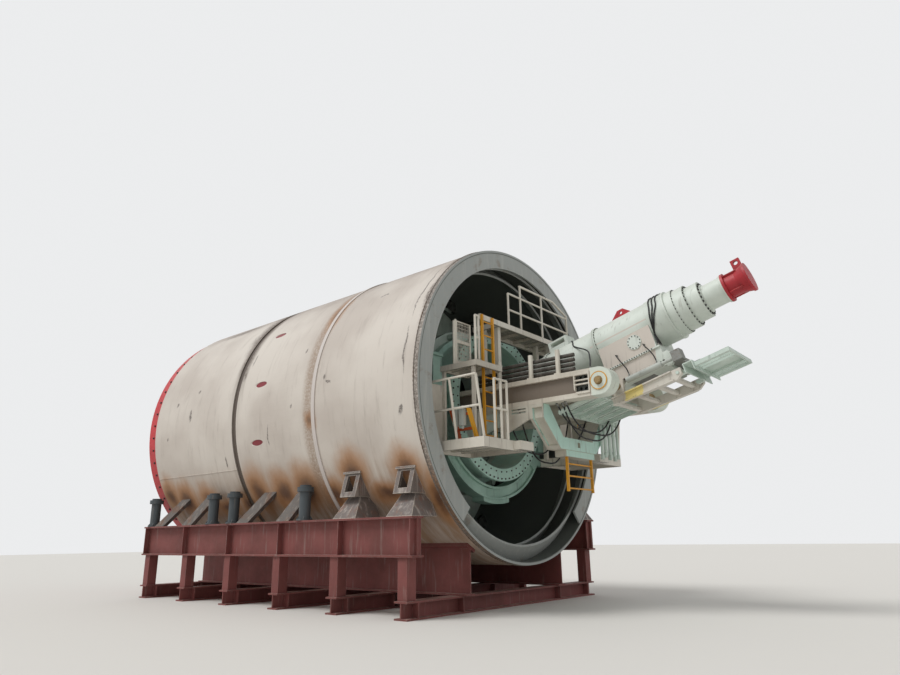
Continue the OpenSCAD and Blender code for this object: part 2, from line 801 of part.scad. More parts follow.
// hoses that hang from a manifold under the far main beam
module hose_bundle() {
    hose_r = 30;
    hoses = 8;
    x0 = yoke_x + yoke_t + 5;
    y0 = 860;
    pitch = 92;
    foot = beam_bottom - 880;
    side = beams_over / 2 + hose_r + 15;
    color("#c4d8cc") on_axis() {
        block([x0, y0 - 50, beam_bottom - 70], [x0 + 100, y0 + hoses * pitch, beam_bottom]);
        for (i = [0 : hoses - 1]) {
            x = x0 + 46 + (i % 2) * 28;
            y = y0 + i * pitch;
            top = y > side ? 0 : beam_bottom - 60;
            bar_z(hose_r, x, y, foot + (i % 3) * 45, top);
            bar_z(hose_r + 14, x, y, beam_bottom - 150, beam_bottom - 60);
            bar_z(hose_r + 10, x, y, foot + (i % 3) * 45, foot + (i % 3) * 45 + 90);
        }
    }
}

module screw_casing() {
    color("#dcd8cc") on_axis() {
        difference() {
            on_screw() screw_disc(screw_d / 2, x_front, casing_end - x_front);
            block([x_front * 2, -R, -R * 2], [x_bulk + bulkhead_t, R, R]);
        }
        on_screw() {
            for (s = CASING_FLANGES) {
                screw_disc(screw_d / 2 + casing_flange, s, flange_t * 0.4);
                screw_disc(screw_d / 2 + casing_flange, s + flange_t * 0.6, flange_t * 0.4);
                screw_disc(screw_d / 2 + casing_flange - 12, s, flange_t);
            }
            difference() {
                block([1000, -170, screw_d / 2 - 60], [1450, 170, screw_d / 2 + 190]);
                block([1060, -180, screw_d / 2 + 60], [1390, 180, screw_d / 2 + 150]);
            }
        }
    }
}

module screw_drum() {
    lip = 12;
    color("#cfe0d4") on_axis() on_screw() {
        screw_disc(drum_d / 2, casing_end, drum_len);
        screw_disc(drum_d / 2 + lip, casing_end + drum_len - 40, 40);
    }
}

module screw_end_rings() {
    s0 = casing_end + drum_len;
    last = len(END_RINGS) - 1;
    lip = 20;
    color("#d8d6ca") on_axis() on_screw() {
        for (i = [0 : last]) screw_disc(END_RINGS[i][0] / 2, s0 + rings_to(i), END_RINGS[i][1]);
        screw_disc(END_RINGS[last][0] / 2 + lip, s0 + rings_len - 35, 35);
        screw_disc(END_RINGS[last][0] / 2 + 2 * lip, s0 + rings_to(last), 30);
    }
}

module screw_end_cap() {
    s0 = screw_end - cap_len;
    eye_x = screw_end - cap_eye_back;
    waist = 0.76 * cap_d / 2;
    flare = 210;
    color("#b5342b") on_axis() on_screw() {
        screw_disc(waist, s0, cap_len);
        screw_disc(cap_d / 2, s0, 45);
        screw_disc(cap_d / 2, screw_end - 45, 45);
        translate([screw_end - flare, 0, 0]) rotate([0, 90, 0])
            cylinder(r1 = waist, r2 = cap_d / 2 - 5, h = flare - 20);
        for (i = [0 : 3]) rotate([i * 90 + 45, 0, 0])
            block([s0 + 40, -12, waist - 20], [screw_end - flare + 60, 12, cap_d / 2 - 25]);
        difference() {
            block([eye_x - 80, -cap_eye_t / 2, cap_d / 2 - 80],
                [eye_x + 80, cap_eye_t / 2, cap_eye_n + 70]);
            translate([eye_x, -50, cap_eye_n]) rotate([-90, 0, 0])
                cylinder(r = cap_eye_r, h = 100, $fn = 32);
        }
    }
}

// lifting lug on the casing, with a long foot
module casing_lug() {
    at = 2420;
    color("#b5342b") on_axis() on_screw() difference() {
        slab_y(-25, 25) polygon([[at, screw_d / 2 - 30], [at + 420, screw_d / 2 - 30],
            [at + 420, screw_d / 2 + 40],
            [at + 290, screw_d / 2 + 170], [at + 170, screw_d / 2 + 170], [at, screw_d / 2 + 30]]);
        translate([at + 225, -40, screw_d / 2 + 105]) rotate([-90, 0, 0])
            cylinder(r = 32, h = 80, $fn = 32);
        screw_disc(screw_d / 2 + fit, at - 100, 700);
    }
}

// housing of the discharge gate: flat hood beside the casing, two rows of flanges, ribs below, cheeks behind
module gate_housing() {
    x1 = gate_x0 + gate_len;
    half = gate_w / 2;
    port_at = [2835, -310];
    port_r = 140;
    ribs = floor((gate_len - 120) / gate_rib_pitch);
    cheek_top = gate_mid + 170;
    color("#d8e2d4") on_axis() on_screw() {
        difference() {
            union() {
                block([gate_x0, -hood_half, hood_low], [x1 - 60, hood_half, -120]);
                block([gate_x0, -half, hood_low], [x1, half, hood_low + gate_flange_t]);
                block([gate_x0, -hood_half, gate_floor], [x1, hood_half, hood_low + 1]);
                block([gate_x0, -half, gate_mid], [x1, half, gate_mid + gate_flange_t]);
                block([gate_x0, -half, gate_floor], [x1, half, gate_floor + 20]);
                for (i = [0 : ribs]) block([gate_x0 + 40 + i * gate_rib_pitch, -half, gate_floor],
                    [gate_x0 + 64 + i * gate_rib_pitch, half, gate_mid + 10]);
                both_sides() translate([port_at[0], hood_half - 10, port_at[1]]) rotate([-90, 0, 0])
                    cylinder(r = port_r, h = 25, $fn = 48);
            }
            screw_disc(screw_d / 2 + fit, 0, casing_end + 0.5);
            screw_disc(drum_d / 2 + 12 + run, casing_end, drum_len);
            block([gate_x0 + 200 - run, -half + gate_wall - run, gate_floor + gate_seat - fit],
                [x1 + 10, half - gate_wall + run, gate_floor + gate_seat + gate_t + run]);
            block([gate_x0 + 300, -300, gate_floor - 10],
                [gate_x0 + 800, 300, gate_floor + gate_seat + 20]);
        }
        both_sides() slab_y(half - 70, half)
            polygon([[x1 - 1, gate_floor - 40], [x1 + gate_cheek - 50, gate_floor - 40],
            [x1 + gate_cheek, gate_floor + 30], [x1 + gate_cheek, cheek_top - 60],
                [x1 + gate_cheek - 50, cheek_top],
            [x1 - 1, cheek_top]]);
    }
}

module gate_slide() {
    z = gate_floor + gate_seat;
    x1 = gate_x0 + gate_len + gate_cheek + 2 * run;
    arm = gate_w / 2 + 125;
    color("#9aa39a") on_axis() on_screw() {
        block([gate_x0 + 200, -gate_w / 2 + gate_wall, z], [x1 + 10, gate_w / 2 - gate_wall, z + gate_t]);
        block([x1, -arm, z - 40], [x1 + 60, arm, z + gate_t]);
        both_sides() block([x1, gate_w / 2 - 60, z - 110], [x1 + 170, arm, z + gate_t + 20]);
    }
}

module gate_cylinders() {
    z = gate_floor + gate_cyl_d / 2 - 30;
    y = gate_w / 2 + gate_cyl_d / 2 + 10;
    x0 = gate_x0 + 365;
    rod_end = gate_x0 + gate_len + gate_cheek + 2 * run;
    color("#c8cdc2") on_axis() on_screw() both_sides() {
        bar_x(gate_cyl_d / 2, y, z, x0, gate_x0 + gate_len - 60);
        bar_x(gate_cyl_d * 0.28, y, z, x0 + 50, rod_end - 1);
        for (i = [3, 5]) block([gate_x0 + 40 + i * gate_rib_pitch, gate_w / 2, z - 30],
            [gate_x0 + 90 + i * gate_rib_pitch, y, gate_mid - 5]);
    }
}

// frame of the sloping conveyor front, parallel to the screw
module on_conveyor() { translate([conv_x, 0, conv_z]) rotate([0, -screw_tilt, 0]) children(); }

module conveyor_frame() {
    beam_low = -60;
    beam_high = 90;
    color("#e2dcc2") on_axis() {
        difference() {
            on_conveyor() {
                both_sides() {
                    slab_y(conv_y, conv_y + conv_t) polygon([[0, beam_low],
                        [conv_len - 120, beam_low - 40],
                        [conv_len, -20], [conv_len, beam_high], [0, beam_high]]);
                    slab_y(conv_y + conv_t - 1, conv_y + conv_t + 40) {
                        polygon([[0, beam_low], [conv_len - 170, beam_low - 38],
                            [conv_len - 170, beam_low - 8], [0, beam_low + 24]]);
                        translate([0, beam_high - 24]) square([conv_len - 170, 24]);
                    }
                }
                for (x = [0, 400, 800, 1130]) block([x, -conv_y - 5, -40], [x + 80, conv_y + 5, 20]);
            }
            on_conveyor() translate([hinge_at[0], -600, hinge_at[1]]) rotate([-90, 0, 0])
                cylinder(d = tip_pin_d + 2 * fit, h = 1200, $fn = 48);
        }
        both_sides() difference() {
            block([beam_end - 70, conv_y + 4, conv_z + 30],
                [beam_end + 130, conv_y + conv_t - 4, pin_z + 120]);
            translate([beam_end, conv_y - 10, pin_z]) rotate([-90, 0, 0])
                cylinder(r = beam_pin_d / 2, h = conv_t + 20);
        }
    }
}

// hinged conveyor front: cross channel and open frame of long rails
module conveyor_tip() {
    rail = 35;
    arm_y = conv_y - 85;
    channel = [150, 330];
    channel_half = 640;
    channel_h = 80;
    wall = 16;
    color("#cfe6df") on_axis() on_conveyor() translate([hinge_at[0], 0, hinge_at[1]]) {
        difference() {
            block([channel[0], -channel_half, -channel_h], [channel[1], channel_half, channel_h]);
            block([channel[0] + wall, -channel_half - 1, -channel_h - 1],
                [channel[1] - wall, channel_half + 1, channel_h - wall]);
        }
        both_sides() {
            block([0, arm_y, -rail], [channel[0] + 1, arm_y + 70, rail]);
            translate([0, arm_y, 0]) rotate([-90, 0, 0]) cylinder(r = 40, h = 70, $fn = 48);
            bar_y(tip_pin_d / 2, 0, 0, arm_y + 30, conv_y + conv_t + 15);
            block([channel[1] - 1, tip_half - 80, -rail], [tip_len, tip_half, rail]);
            block([channel[1] - 1, tip_half - 230, -rail], [tip_len, tip_half - 200, rail - 20]);
        }
        block([channel[1] - 1, -250, rail - 30], [tip_len, 250, rail]);
        for (y = [-250, 220]) block([channel[1] - 1, y, -rail], [tip_len, y + 30, rail - 10]);
        block([tip_len - 30, -tip_half, -rail], [tip_len, tip_half, rail]);
    }
}

// deck with a rim and joists below, from corner a to corner b, top at z, h deep, with n joists along X
module deck_frame(a, b, z, h, n) {
    step = (b[1] - a[1] - joist) / n;
    block([a[0], a[1], z - 14], [b[0], b[1], z]);
    for (y = [a[1], b[1] - joist]) block([a[0], y, z - h], [b[0], y + joist, z]);
    for (x = [a[0], b[0] - joist]) block([x, a[1], z - h], [x + joist, b[1], z]);
    for (i = [1 : n - 1]) block([a[0], a[1] + i * step, z - h * 0.7], [b[0], a[1] + i * step + joist, z]);
}

module lower_platforms() {
    in = beams_over / 2 + plate;
    color("#d9d6c9") on_axis() both_sides() {
        deck_frame([front_x, in], [lower_back, lower_out], lower_z, deck_t, 4);
        block([lower_back - 1, in, lower_z - deck_t + 10],
            [lower_back + lower_step, in + 420, lower_z - 10]);
        for (x = [-300, 340]) block([x, in - 80, lower_z - 40], [x + 80, in + 5, beam_bottom]);
        block([front_x, lower_out - 60, lower_z - 1],
            [front_x + plate, lower_out, lower_z + rail_h + 60]);
        block([front_x, lower_out - 520, lower_z - 1],
            [front_x + 20, lower_out - 40, lower_z + rail_h + 60]);
    }
}

module middle_platforms() {
    color("#d9d6c9") on_axis() both_sides() {
        difference() {
            deck_frame([front_x, middle_in], [middle_back, middle_out], middle_z, upper_t, 3);
            block([ladder_x - 50, ladder_in - 12, middle_z - upper_t - 10],
                [ladder_x + 100, ladder_in + ladder_w + 2 * ladder_rail, middle_z + 10]);
        }
        for (x = [front_x + 20, middle_back - 150])
            block([x, middle_out - 90, lower_z], [x + 60, middle_out - 30, middle_z - upper_t]);
    }
}

module upper_platform() {
    near = ladder_in + ladder_w + ladder_rail;
    color("#d9d6c9") on_axis() {
        deck_frame([front_x, -upper_near], [ladder_x, upper_far], upper_z, upper_t, 6);
        block([ladder_x - joist, -near, upper_z - upper_t], [ladder_x, 1 - upper_near, upper_z]);
        both_sides() for (x = [-300, 50])
            block([x, beam_y - 150, beam_top], [x + 100, beam_y - 50, upper_z - 13]);
    }
}

// guard rail of posts and two rails through the listed points; low and high are added to each point
module guard_rail(points, low, high) {
    r = tube_d / 2;
    for (p = points) bar(r, p + low, p + high);
    for (i = [0 : len(points) - 2]) for (f = [0.5, 1])
        bar(r * 0.9, points[i] + low + f * (high - low), points[i + 1] + low + f * (high - low));
}

module platform_railings() {
    side = lower_out - 40;
    up = [0, 0, rail_h];
    r = tube_d / 2;
    gate_post = [0, 0, mesh_h - 20];
    upper_x = 200;
    mid_rail = upper_z + 720;
    top_rail = upper_z + 1000;
    color("#e4e2d8") on_axis() {
        both_sides() difference() {
            union() {
                guard_rail([for (x = [front_x + 70, 240, lower_back - 30]) [x, side, lower_z]], [0, 0, 0],
                    [0, rail_lean, rail_h]);
                guard_rail([for (y = [330, 530, 720]) [lower_back - 30, side - y, lower_z]], [0, 0, 0],
                    up);
            }
            block([front_x, 0, lower_z - 60], [lower_back, R, lower_z]);
        }
        both_sides() {
            bar(r, [mesh_x, middle_out - 40, middle_z], [mesh_x, middle_out - 40, middle_z] + gate_post);
            guard_rail([for (y = [140, 40]) [middle_back - 40, middle_out - y, middle_z]], [0, 0, 0],
                gate_post);
        }
        guard_rail([for (y = [-700, -240, 600, upper_far - 30]) [upper_x, y, upper_z]], [0, 0, 0],
            [0, 0, mid_rail - upper_z]);
        bar(r, [upper_x, -240, mid_rail], [upper_x, -240, top_rail]);
        bar(r, [upper_x, -260, top_rail], [upper_x, 1100, top_rail]);
        bar(r, [upper_x, 600, mid_rail], [upper_x, 600, top_rail]);
        bar(r, [upper_x, 1090, top_rail], [upper_x, upper_far - 30, mid_rail + 60]);
        bar(r, [upper_x, upper_far - 30, mid_rail], [upper_x, upper_far - 30, mid_rail + 70]);
    }
}

// painted stand with hydraulic valves on the near lower platform
// painted stand on the near lower platform: two leaning legs with cross bars
module valve_stand() {
    y = stand_y;
    h = stand_h;
    color("#c9622c") on_axis() {
        for (x = [0, 400]) slab_x(x, x + 50)
            polygon([[y, lower_z], [y + 80, lower_z], [y + 80 - stand_lean, lower_z + h],
                [y - stand_lean, lower_z + h]]);
        for (f = [0.35, 0.8]) block([10, y + 20 - f * stand_lean, lower_z + f * h],
            [440, y + 60 - f * stand_lean, lower_z + f * h + 50]);
    }
}

module valve_blocks() {
    color("#9aa09a") on_axis() for (x = [90, 240]) {
        block([x, stand_y - 0.8 * stand_lean - 60, lower_z + 0.35 * stand_h + 60],
            [x + 100, stand_y + 20 - 0.8 * stand_lean - fit, lower_z + stand_h]);
        bar_z(22, x + 50, stand_y - 0.8 * stand_lean - 20, lower_z + 0.35 * stand_h,
            lower_z + stand_h + 60);
    }
}

module access_ladders() {
    rungs = 8;
    pitch = 280;
    color("#e0a126") on_axis() both_sides() {
        for (y = [ladder_in, ladder_in + ladder_w])
            block([ladder_x, y, lower_z], [ladder_x + 50, y + ladder_rail, upper_z - 20]);
        for (i = [0 : rungs]) bar_y(14, ladder_x + 25, lower_z + 160 + i * pitch, ladder_in + 20,
            ladder_in + ladder_w + 20);
    }
}

// short ladder under the yoke's foot
module rear_ladder() {
    y0 = -390;
    y1 = 590;
    low = beam_bottom - yoke_drop - yoke_foot;
    length = 650;
    color("#d8b52a") on_axis() {
        for (y = [y0, y1 - 40]) block([yoke_x + 200, y, low - length], [yoke_x + 250, y + 40, low]);
        for (i = [0 : 2]) bar_y(16, yoke_x + 225, low - 130 - i * 230, y0 + 5, y1 - 5);
    }
}

module mesh_gate() {
    z0 = middle_z + 20;
    y1 = hinge_y + gate_span;
    bars = 45;
    wires = 7;
    rows = 11;
    color("#e4e2d8") on_axis() {
        bar_z(tube_d / 2, mesh_x, hinge_y, z0, z0 + mesh_h);
        difference() {
            block([mesh_x - 15, hinge_y, z0 + 20], [mesh_x + 15, y1, z0 + mesh_h - 20]);
            for (i = [0, 1]) block([mesh_x - 20, hinge_y + bars, z0 + 20 + bars + i * (mesh_h / 2 - 20)],
                [mesh_x + 20, y1 - bars, z0 + mesh_h / 2 - 20 + i * (mesh_h / 2 - 20)]);
        }
        for (i = [1 : wires]) bar_z(wire_d / 2, mesh_x,
            hinge_y + bars + i * (gate_span - 2 * bars) / (wires + 1),
            z0 + 30, z0 + mesh_h - 30);
        for (i = [1 : rows]) bar_y(wire_d / 2, mesh_x + 6, z0 + (i + 0.15) * mesh_h / (rows + 1.3),
            hinge_y + 20, y1 - 20);
    }
}

module on_spokes() { for (i = [0 : spoke_count - 1]) rotate([360 / spoke_count * i, 0, 0]) children(); }

// radius of disc cutter i on its spoke
function disc_r(i) = hub_d / 2 + disc_d / 2 + (i + 0.2) * disc_reach / (discs_per_spoke - 0.2);

module cutterhead_body() {
    step = 360 / spoke_count;
    panel_half = 0.28 * step;
    back = head_front + spoke_depth;
    color("#b5342b") on_axis() difference() {
        union() {
            translate([head_front, 0, 0]) rotate([0, 90, 0]) rotate_extrude($fn = 240)
                polygon([[head_r - rim_t, 0], [head_r - rim_chamfer, 0], [head_r, rim_chamfer],
                    [head_r, rim_depth],
                    [head_r - rim_t, rim_depth]]);
            disc_x(hub_d / 2, head_front, back);
            translate([head_front - nose_h, 0, 0]) rotate([0, 90, 0])
                cylinder(r1 = 0.16 * hub_d, r2 = 0.3 * hub_d, h = nose_h + 1);
            on_spokes() slab_x(head_front, back) polygon([[-spoke_w / 2, 0], [spoke_w / 2, 0],
                [(spoke_w + spoke_flare) / 2, head_r - rim_t / 2],
                    [-(spoke_w + spoke_flare) / 2, head_r - rim_t / 2]]);
            on_spokes() sector_x(head_r - rim_t / 2, head_r - rim_t - panel_len, head_front,
                head_front + 120,
                90 + step / 2 - panel_half, 90 + step / 2 + panel_half);
            on_spokes() rotate([step / 2, 0, 0])
                block([head_front + 20, -50, head_r - rim_t - panel_len - 20],
                [back - 40, 50, head_r - rim_t / 2]);
            tube_x(hub_d / 2 + 640, hub_d / 2 + 520, head_front + 90, back);
            on_spokes() translate([back - 1, 0, leg_circle_d / 2]) rotate([0, 90, 0])
                cylinder(d = leg_d, h = x_bulk - fit - drive_flange - back + 2);
            tube_x((leg_circle_d + leg_d) / 2 + 40, (leg_circle_d - leg_d) / 2 - 40,
                x_bulk - fit - drive_flange, x_bulk - fit);
            disc_x(0.22 * hub_d, back - 1, x_bulk - fit);
        }
        on_spokes() for (i = [0 : discs_per_spoke - 1])
            block([head_front - 10, -pocket_w / 2, disc_r(i) - pocket_len / 2],
            [head_front + pocket_depth, pocket_w / 2, disc_r(i) + pocket_len / 2]);
    }
}

module disc_cutters() {
    x = head_front + disc_d / 2 - disc_out;
    color("#8d8a86") on_axis() on_spokes() for (i = [0 : discs_per_spoke - 1])
        translate([x, 0, disc_r(i)]) rotate([90, 0, 0]) {
        rotate_extrude($fn = 64) polygon([[0, -disc_w / 2], [disc_d / 2 - 45, -disc_w / 2],
            [disc_d / 2, -10],
            [disc_d / 2, 10], [disc_d / 2 - 45, disc_w / 2], [0, disc_w / 2]]);
        translate([0, 0, -pocket_w / 2]) cylinder(d = disc_d * 0.5, h = pocket_w, $fn = 48);
    }
}

// wedge teeth along both edges of each spoke, and gauge blocks around the rim
module scraper_teeth() {
    r0 = hub_d / 2 + 150;
    teeth = floor((head_r - rim_t - r0 - tooth_w) / tooth_pitch);
    color("#8d8a86") on_axis() {
        on_spokes() for (i = [0 : teeth]) both_sides()
            translate([head_front - fit, spoke_w / 2 - 75, r0 + i * tooth_pitch]) linear_extrude(tooth_w)
                polygon([[0, 0], [0, 75], [-tooth_out, 75], [-tooth_out, 50]]);
        for (i = [0 : gauge_count - 1]) rotate([360 / gauge_count * (i + 0.5), 0, 0])
            block([head_front - 45, -60, head_r - rim_t + 5],
                [head_front - fit, 60, head_r - rim_chamfer]);
    }
}

module erector_carriage() {
    x1 = ring_x - ring_len - run;
    x0 = x1 - carriage_t;
    in = beam_y - beam_w / 2 - 70;
    out = beams_over / 2 + 150;
    color("#cfd6c8") on_axis() {
        difference() {
            tube_x(carriage_r, ring_in_r + 20, x0, x1);
            both_sides() block([x0 - 10, in, beam_bottom - run],
                [x1 + 10, beams_over / 2 + run, beam_top + fit]);
        }
        both_sides() {
            block([x0, in, beam_top + fit], [x1, out, beam_top + 330]);
            block([x0, in, beam_bottom - 300], [x1, out, beam_bottom - run]);
            block([x0 - 260, in + 40, beam_top + fit], [x0 + 1, beams_over / 2 - 20, beam_top + 150]);
        }
        for (i = [0 : roller_n - 1]) rotate([360 / roller_n * (i + 0.5), 0, 0])
            translate([x1 - 5, 0, ring_out_r + roller_d / 2 + fit]) rotate([0, 90, 0])
                cylinder(d = roller_d, h = carriage_t, $fn = 32);
    }
}

// drum with a flange at each end and gussets between
module erector_ring() {
    gussets = 12;
    color("#a9c9ae") on_axis() {
        tube_x(ring_out_r, ring_in_r, ring_x - 70, ring_x);
        tube_x(drum_r, ring_in_r, ring_x - ring_len, ring_x);
        tube_x(ring_out_r, ring_in_r, ring_x - ring_len, ring_x - ring_len + 160);
        for (i = [0 : gussets - 1]) rotate([360 / gussets * (i + 0.5), 0, 0])
            block([ring_x - 190, -12, drum_r - 5], [ring_x - 60, 12, ring_out_r - 20]);
    }
}

module lift_guides() {
    half = guide_w / 2;
    color("#a9c9ae") on_axis() both_sides() difference() {
        union() {
            block([lift_x - half, guide_y - half, -guide_h / 2],
                [lift_x + half, guide_y + half, guide_h / 2]);
            for (z = [-guide_h / 2, guide_h / 2 - 60])
                block([lift_x - half - 25, guide_y - half - 25, z],
                    [lift_x + half + 25, guide_y + half + 25, z + 60]);
            slab_x(lift_x - 100, lift_x + 100)
                polygon([[drum_r - 60, -360], [guide_y, -480], [guide_y, 480], [drum_r - 60, 360]]);
        }
        tube_x(drum_r + fit, 100, ring_x - ring_len, ring_x);
        translate([lift_x, guide_y, -guide_h / 2 - 10])
            cylinder(d = ram_d + 2 * fit, h = guide_h - 190, $fn = 48);
    }
}

// curved beam under the ring, with a foot on each ram
module gripper_beam() {
    low = -guide_h / 2 - 330;
    color("#a9c9ae") on_axis() {
        difference() {
            sector_x(arc_r, arc_r - arc_h, lift_x - 160, lift_x + 160, -90 - arc_half, -90 + arc_half);
            sector_x(arc_r - 50, arc_r - arc_h + 50, lift_x + 110, lift_x + 170, -90 - arc_half + 9,
                -90 + arc_half - 9);
        }
        both_sides() {
            translate([lift_x, guide_y, low + 30]) cylinder(d = ram_d, h = guide_h - 100, $fn = 48);
            block([lift_x - 130, guide_y - 370, low], [lift_x + 130, guide_y + 110, low + 180]);
        }
    }
}

module gripper_head() {
    pad_r = arc_r + head_pad;
    color("#8fae94") on_axis() intersection() {
        block([lift_x - 150, -pad_w / 2, -pad_r], [lift_x + 150, pad_w / 2, 90 - arc_r]);
        tube_x(pad_r, arc_r, lift_x - 200, lift_x + 200);
    }
}

cradle_cross_frames();
cradle_side_beams();
cradle_rails();
cradle_braces();
cradle_wedges();
shield_brackets();
lifting_jacks();
front_shield();
middle_shield();
tail_shield();
tail_seals();
bulkhead();
main_drive();
thrust_ring();
thrust_cylinders();
beam_frame();
main_beams();
pipe_racks();
rack_pipes();
yoke_frame();
beam_tray();
hose_bundle();
beam_pin();
screw_casing();
screw_drum();
screw_end_rings();
screw_end_cap();
casing_lug();
gate_housing();
gate_cylinders();
gate_slide();
conveyor_frame();
conveyor_tip();
lower_platforms();
middle_platforms();
upper_platform();
platform_railings();
valve_stand();
valve_blocks();
access_ladders();
rear_ladder();
mesh_gate();
cutterhead_body();
disc_cutters();
scraper_teeth();
thrust_rams_top();
thrust_rams_right();
thrust_rams_bottom();
thrust_rams_left();
erector_carriage();
erector_ring();
lift_guides();
gripper_beam();
gripper_head();
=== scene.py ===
# %% [markdown]
# A tunnel boring machine, dressed for its picture
#
# The machine stands on a red launch cradle: a long steel shield with a cutterhead at its front end, and
# behind it the erector, the screw conveyor and the working platforms. Its solids come packed in one frame,
# in metres, so this lesson only gives them their surfaces and adds what is too small for the solids: bolts,
# welds, hoses and wear.

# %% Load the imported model
import math

import bmesh
import bpy
from mathutils import Matrix, Quaternion, Vector


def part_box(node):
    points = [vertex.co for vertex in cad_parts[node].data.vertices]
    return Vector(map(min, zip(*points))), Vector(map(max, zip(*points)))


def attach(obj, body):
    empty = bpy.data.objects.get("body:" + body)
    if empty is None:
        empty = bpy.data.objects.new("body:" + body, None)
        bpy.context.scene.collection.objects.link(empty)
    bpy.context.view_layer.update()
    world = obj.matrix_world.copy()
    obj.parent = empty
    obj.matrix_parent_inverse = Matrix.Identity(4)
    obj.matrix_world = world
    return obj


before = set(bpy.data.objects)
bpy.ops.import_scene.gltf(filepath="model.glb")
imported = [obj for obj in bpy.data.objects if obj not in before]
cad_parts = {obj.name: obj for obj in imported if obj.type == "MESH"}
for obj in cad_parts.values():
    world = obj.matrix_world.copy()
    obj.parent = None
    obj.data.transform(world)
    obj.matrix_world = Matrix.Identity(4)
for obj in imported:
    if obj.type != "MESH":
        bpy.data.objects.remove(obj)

scene = bpy.context.scene
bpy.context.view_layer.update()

# %% [markdown]
# Places are easiest to give from the machine's own axis. The tail shield's box tells where its rear rim is
# and how high the axis lies, so a point is written as metres behind the rim, to the side and over the axis.
# The screw conveyor slopes, so it has a frame of its own: along its axis, to the side, and square to both.
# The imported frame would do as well, but a number in it says nothing about the machine.

# %% Places on the machine and along the screw
tail_low, tail_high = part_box("tail_shield")
rim = Vector((tail_high[0], 0, (tail_low[2] + tail_high[2]) / 2))
shield_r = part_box("front_shield")[1][1]
# the screw climbs to the rear, and at the rim it lies this far over the machine's axis
SCREW_TILT = math.radians(15.7)
SCREW_HEIGHT = 0.189
screw_turn = Matrix.Rotation(-SCREW_TILT, 4, "Y")
screw_frame = Matrix.Translation(rim + Vector((0, 0, SCREW_HEIGHT))) @ screw_turn


def at(x, y, z):
    """A point x behind the tail rim, y to the far side and z over the machine's axis."""
    return rim + Vector((x, y, z))


def on_screw(s, y, n):
    """A point s along the screw's axis, y to the far side and n square to the axis."""
    return screw_frame @ Vector((s, y, n))


print("tail rim at", [round(v, 3) for v in rim], "shield radius", round(shield_r, 3))

# %% [markdown]
# The camera stands low, behind the tail and to the near side, and looks up a little with a wide lens. It
# could be aimed by a constraint, but a direction and a roll leave nothing live in the scene.

# %% Camera
CAMERA_AT = (7.892, -11.850, -2.768)
# the line of view is turned from straight across the machine, raised, and rolled about itself
CAMERA_YAW = math.radians(-39.83)
CAMERA_PITCH = math.radians(16.55)
CAMERA_ROLL = math.radians(-0.775)
CAMERA_LENS = 27.04
CAMERA_SENSOR = 36

camera = bpy.data.objects.new("camera", bpy.data.cameras.new("camera"))
scene.collection.objects.link(camera)
scene.camera = camera
camera.data.lens = CAMERA_LENS
camera.data.sensor_width = CAMERA_SENSOR
camera.location = at(*CAMERA_AT)
view_line = Vector((math.sin(CAMERA_YAW) * math.cos(CAMERA_PITCH),
                    math.cos(CAMERA_YAW) * math.cos(CAMERA_PITCH), math.sin(CAMERA_PITCH)))
camera.rotation_mode = "QUATERNION"
camera.rotation_quaternion = view_line.to_track_quat("-Z", "Y") @ Quaternion((0, 0, 1), CAMERA_ROLL)
scene.view_settings.view_transform = "Standard"
print("camera", [round(v, 2) for v in camera.location])

# %% [markdown]
# A material is a tree of nodes, which is easier to read when a node with its settings and links takes one
# line. Colours are written as on a paint card, in sRGB hex, and turned to the linear values that the shader
# wants. A noise's scale counts its blotches in a metre, so it is worked out from how far apart they lie.

# %% Small helpers for materials
def paint(code):
    """The linear colour of an sRGB hex code."""
    parts = [int(code[i:i + 2], 16) / 255 for i in (1, 3, 5)]
    return (*[c / 12.92 if c <= 0.04045 else ((c + 0.055) / 1.055) ** 2.4 for c in parts], 1.0)


def per(mm):
    """The scale of a pattern that repeats every so many millimetres."""
    return 1000 / mm


def add(tree, kind, inputs=None, out=None, **settings):
    """Adds a node with its settings, links or sets its inputs, and gives its output out, or the node."""
    node = tree.nodes.new(kind)
    for name, value in settings.items():
        setattr(node, name, value)
    for key, value in (inputs or {}).items():
        if isinstance(value, bpy.types.NodeSocket):
            tree.links.new(value, node.inputs[key])
        else:
            node.inputs[key].default_value = value
    return node if out is None else node.outputs[out]


def new_material(name):
    """An empty material, its node tree and its shader."""
    material = bpy.data.materials.new(name)
    material.use_nodes = True
    tree = material.node_tree
    return material, tree, tree.nodes["Principled BSDF"]


MINT = "#badbce"
print("mint enamel in linear values", [round(v, 3) for v in paint(MINT)])

# %% [markdown]
# Wear is laid on in coats, one over another. Each coat takes a measure, such as a noise or a height, and
# covers what is under it from nothing at one value of the measure to its full strength at another. A second
# measure may hold it back to a part of the surface. Coats need no unwrapping and stay sharp at any distance.
#
# Some measures are used again and again. One says where a point is, with the near side folded onto the far
# side, because both are alike. One says whether it is in a box. One finds edges: the Bevel node rounds the
# normal near an edge, so where that differs from the true normal, there is an edge.

# %% Coats and measures
def coat(tree, under, measure, start, full, strength, code, within=None):
    """Lays a colour over another, from nothing where measure is start to strength where it is full.

    A second measure, with its own start and full, may hold the coat within a part of the surface.
    """
    share = add(tree, "ShaderNodeMapRange", {"Value": measure, "From Min": start, "From Max": full,
                                             "To Max": strength}, "Result", interpolation_type="SMOOTHSTEP")
    if within:
        held = add(tree, "ShaderNodeMapRange", {"Value": within[0], "From Min": within[1],
                                                "From Max": within[2]}, "Result")
        share = add(tree, "ShaderNodeMath", {0: share, 1: held}, 0, operation="MULTIPLY")
    # of the Mix node's many sockets, 6 and 7 take its two colours and 2 gives the mixed one
    return add(tree, "ShaderNodeMix", {0: share, 6: under, 7: paint(code)}, 2, data_type="RGBA")


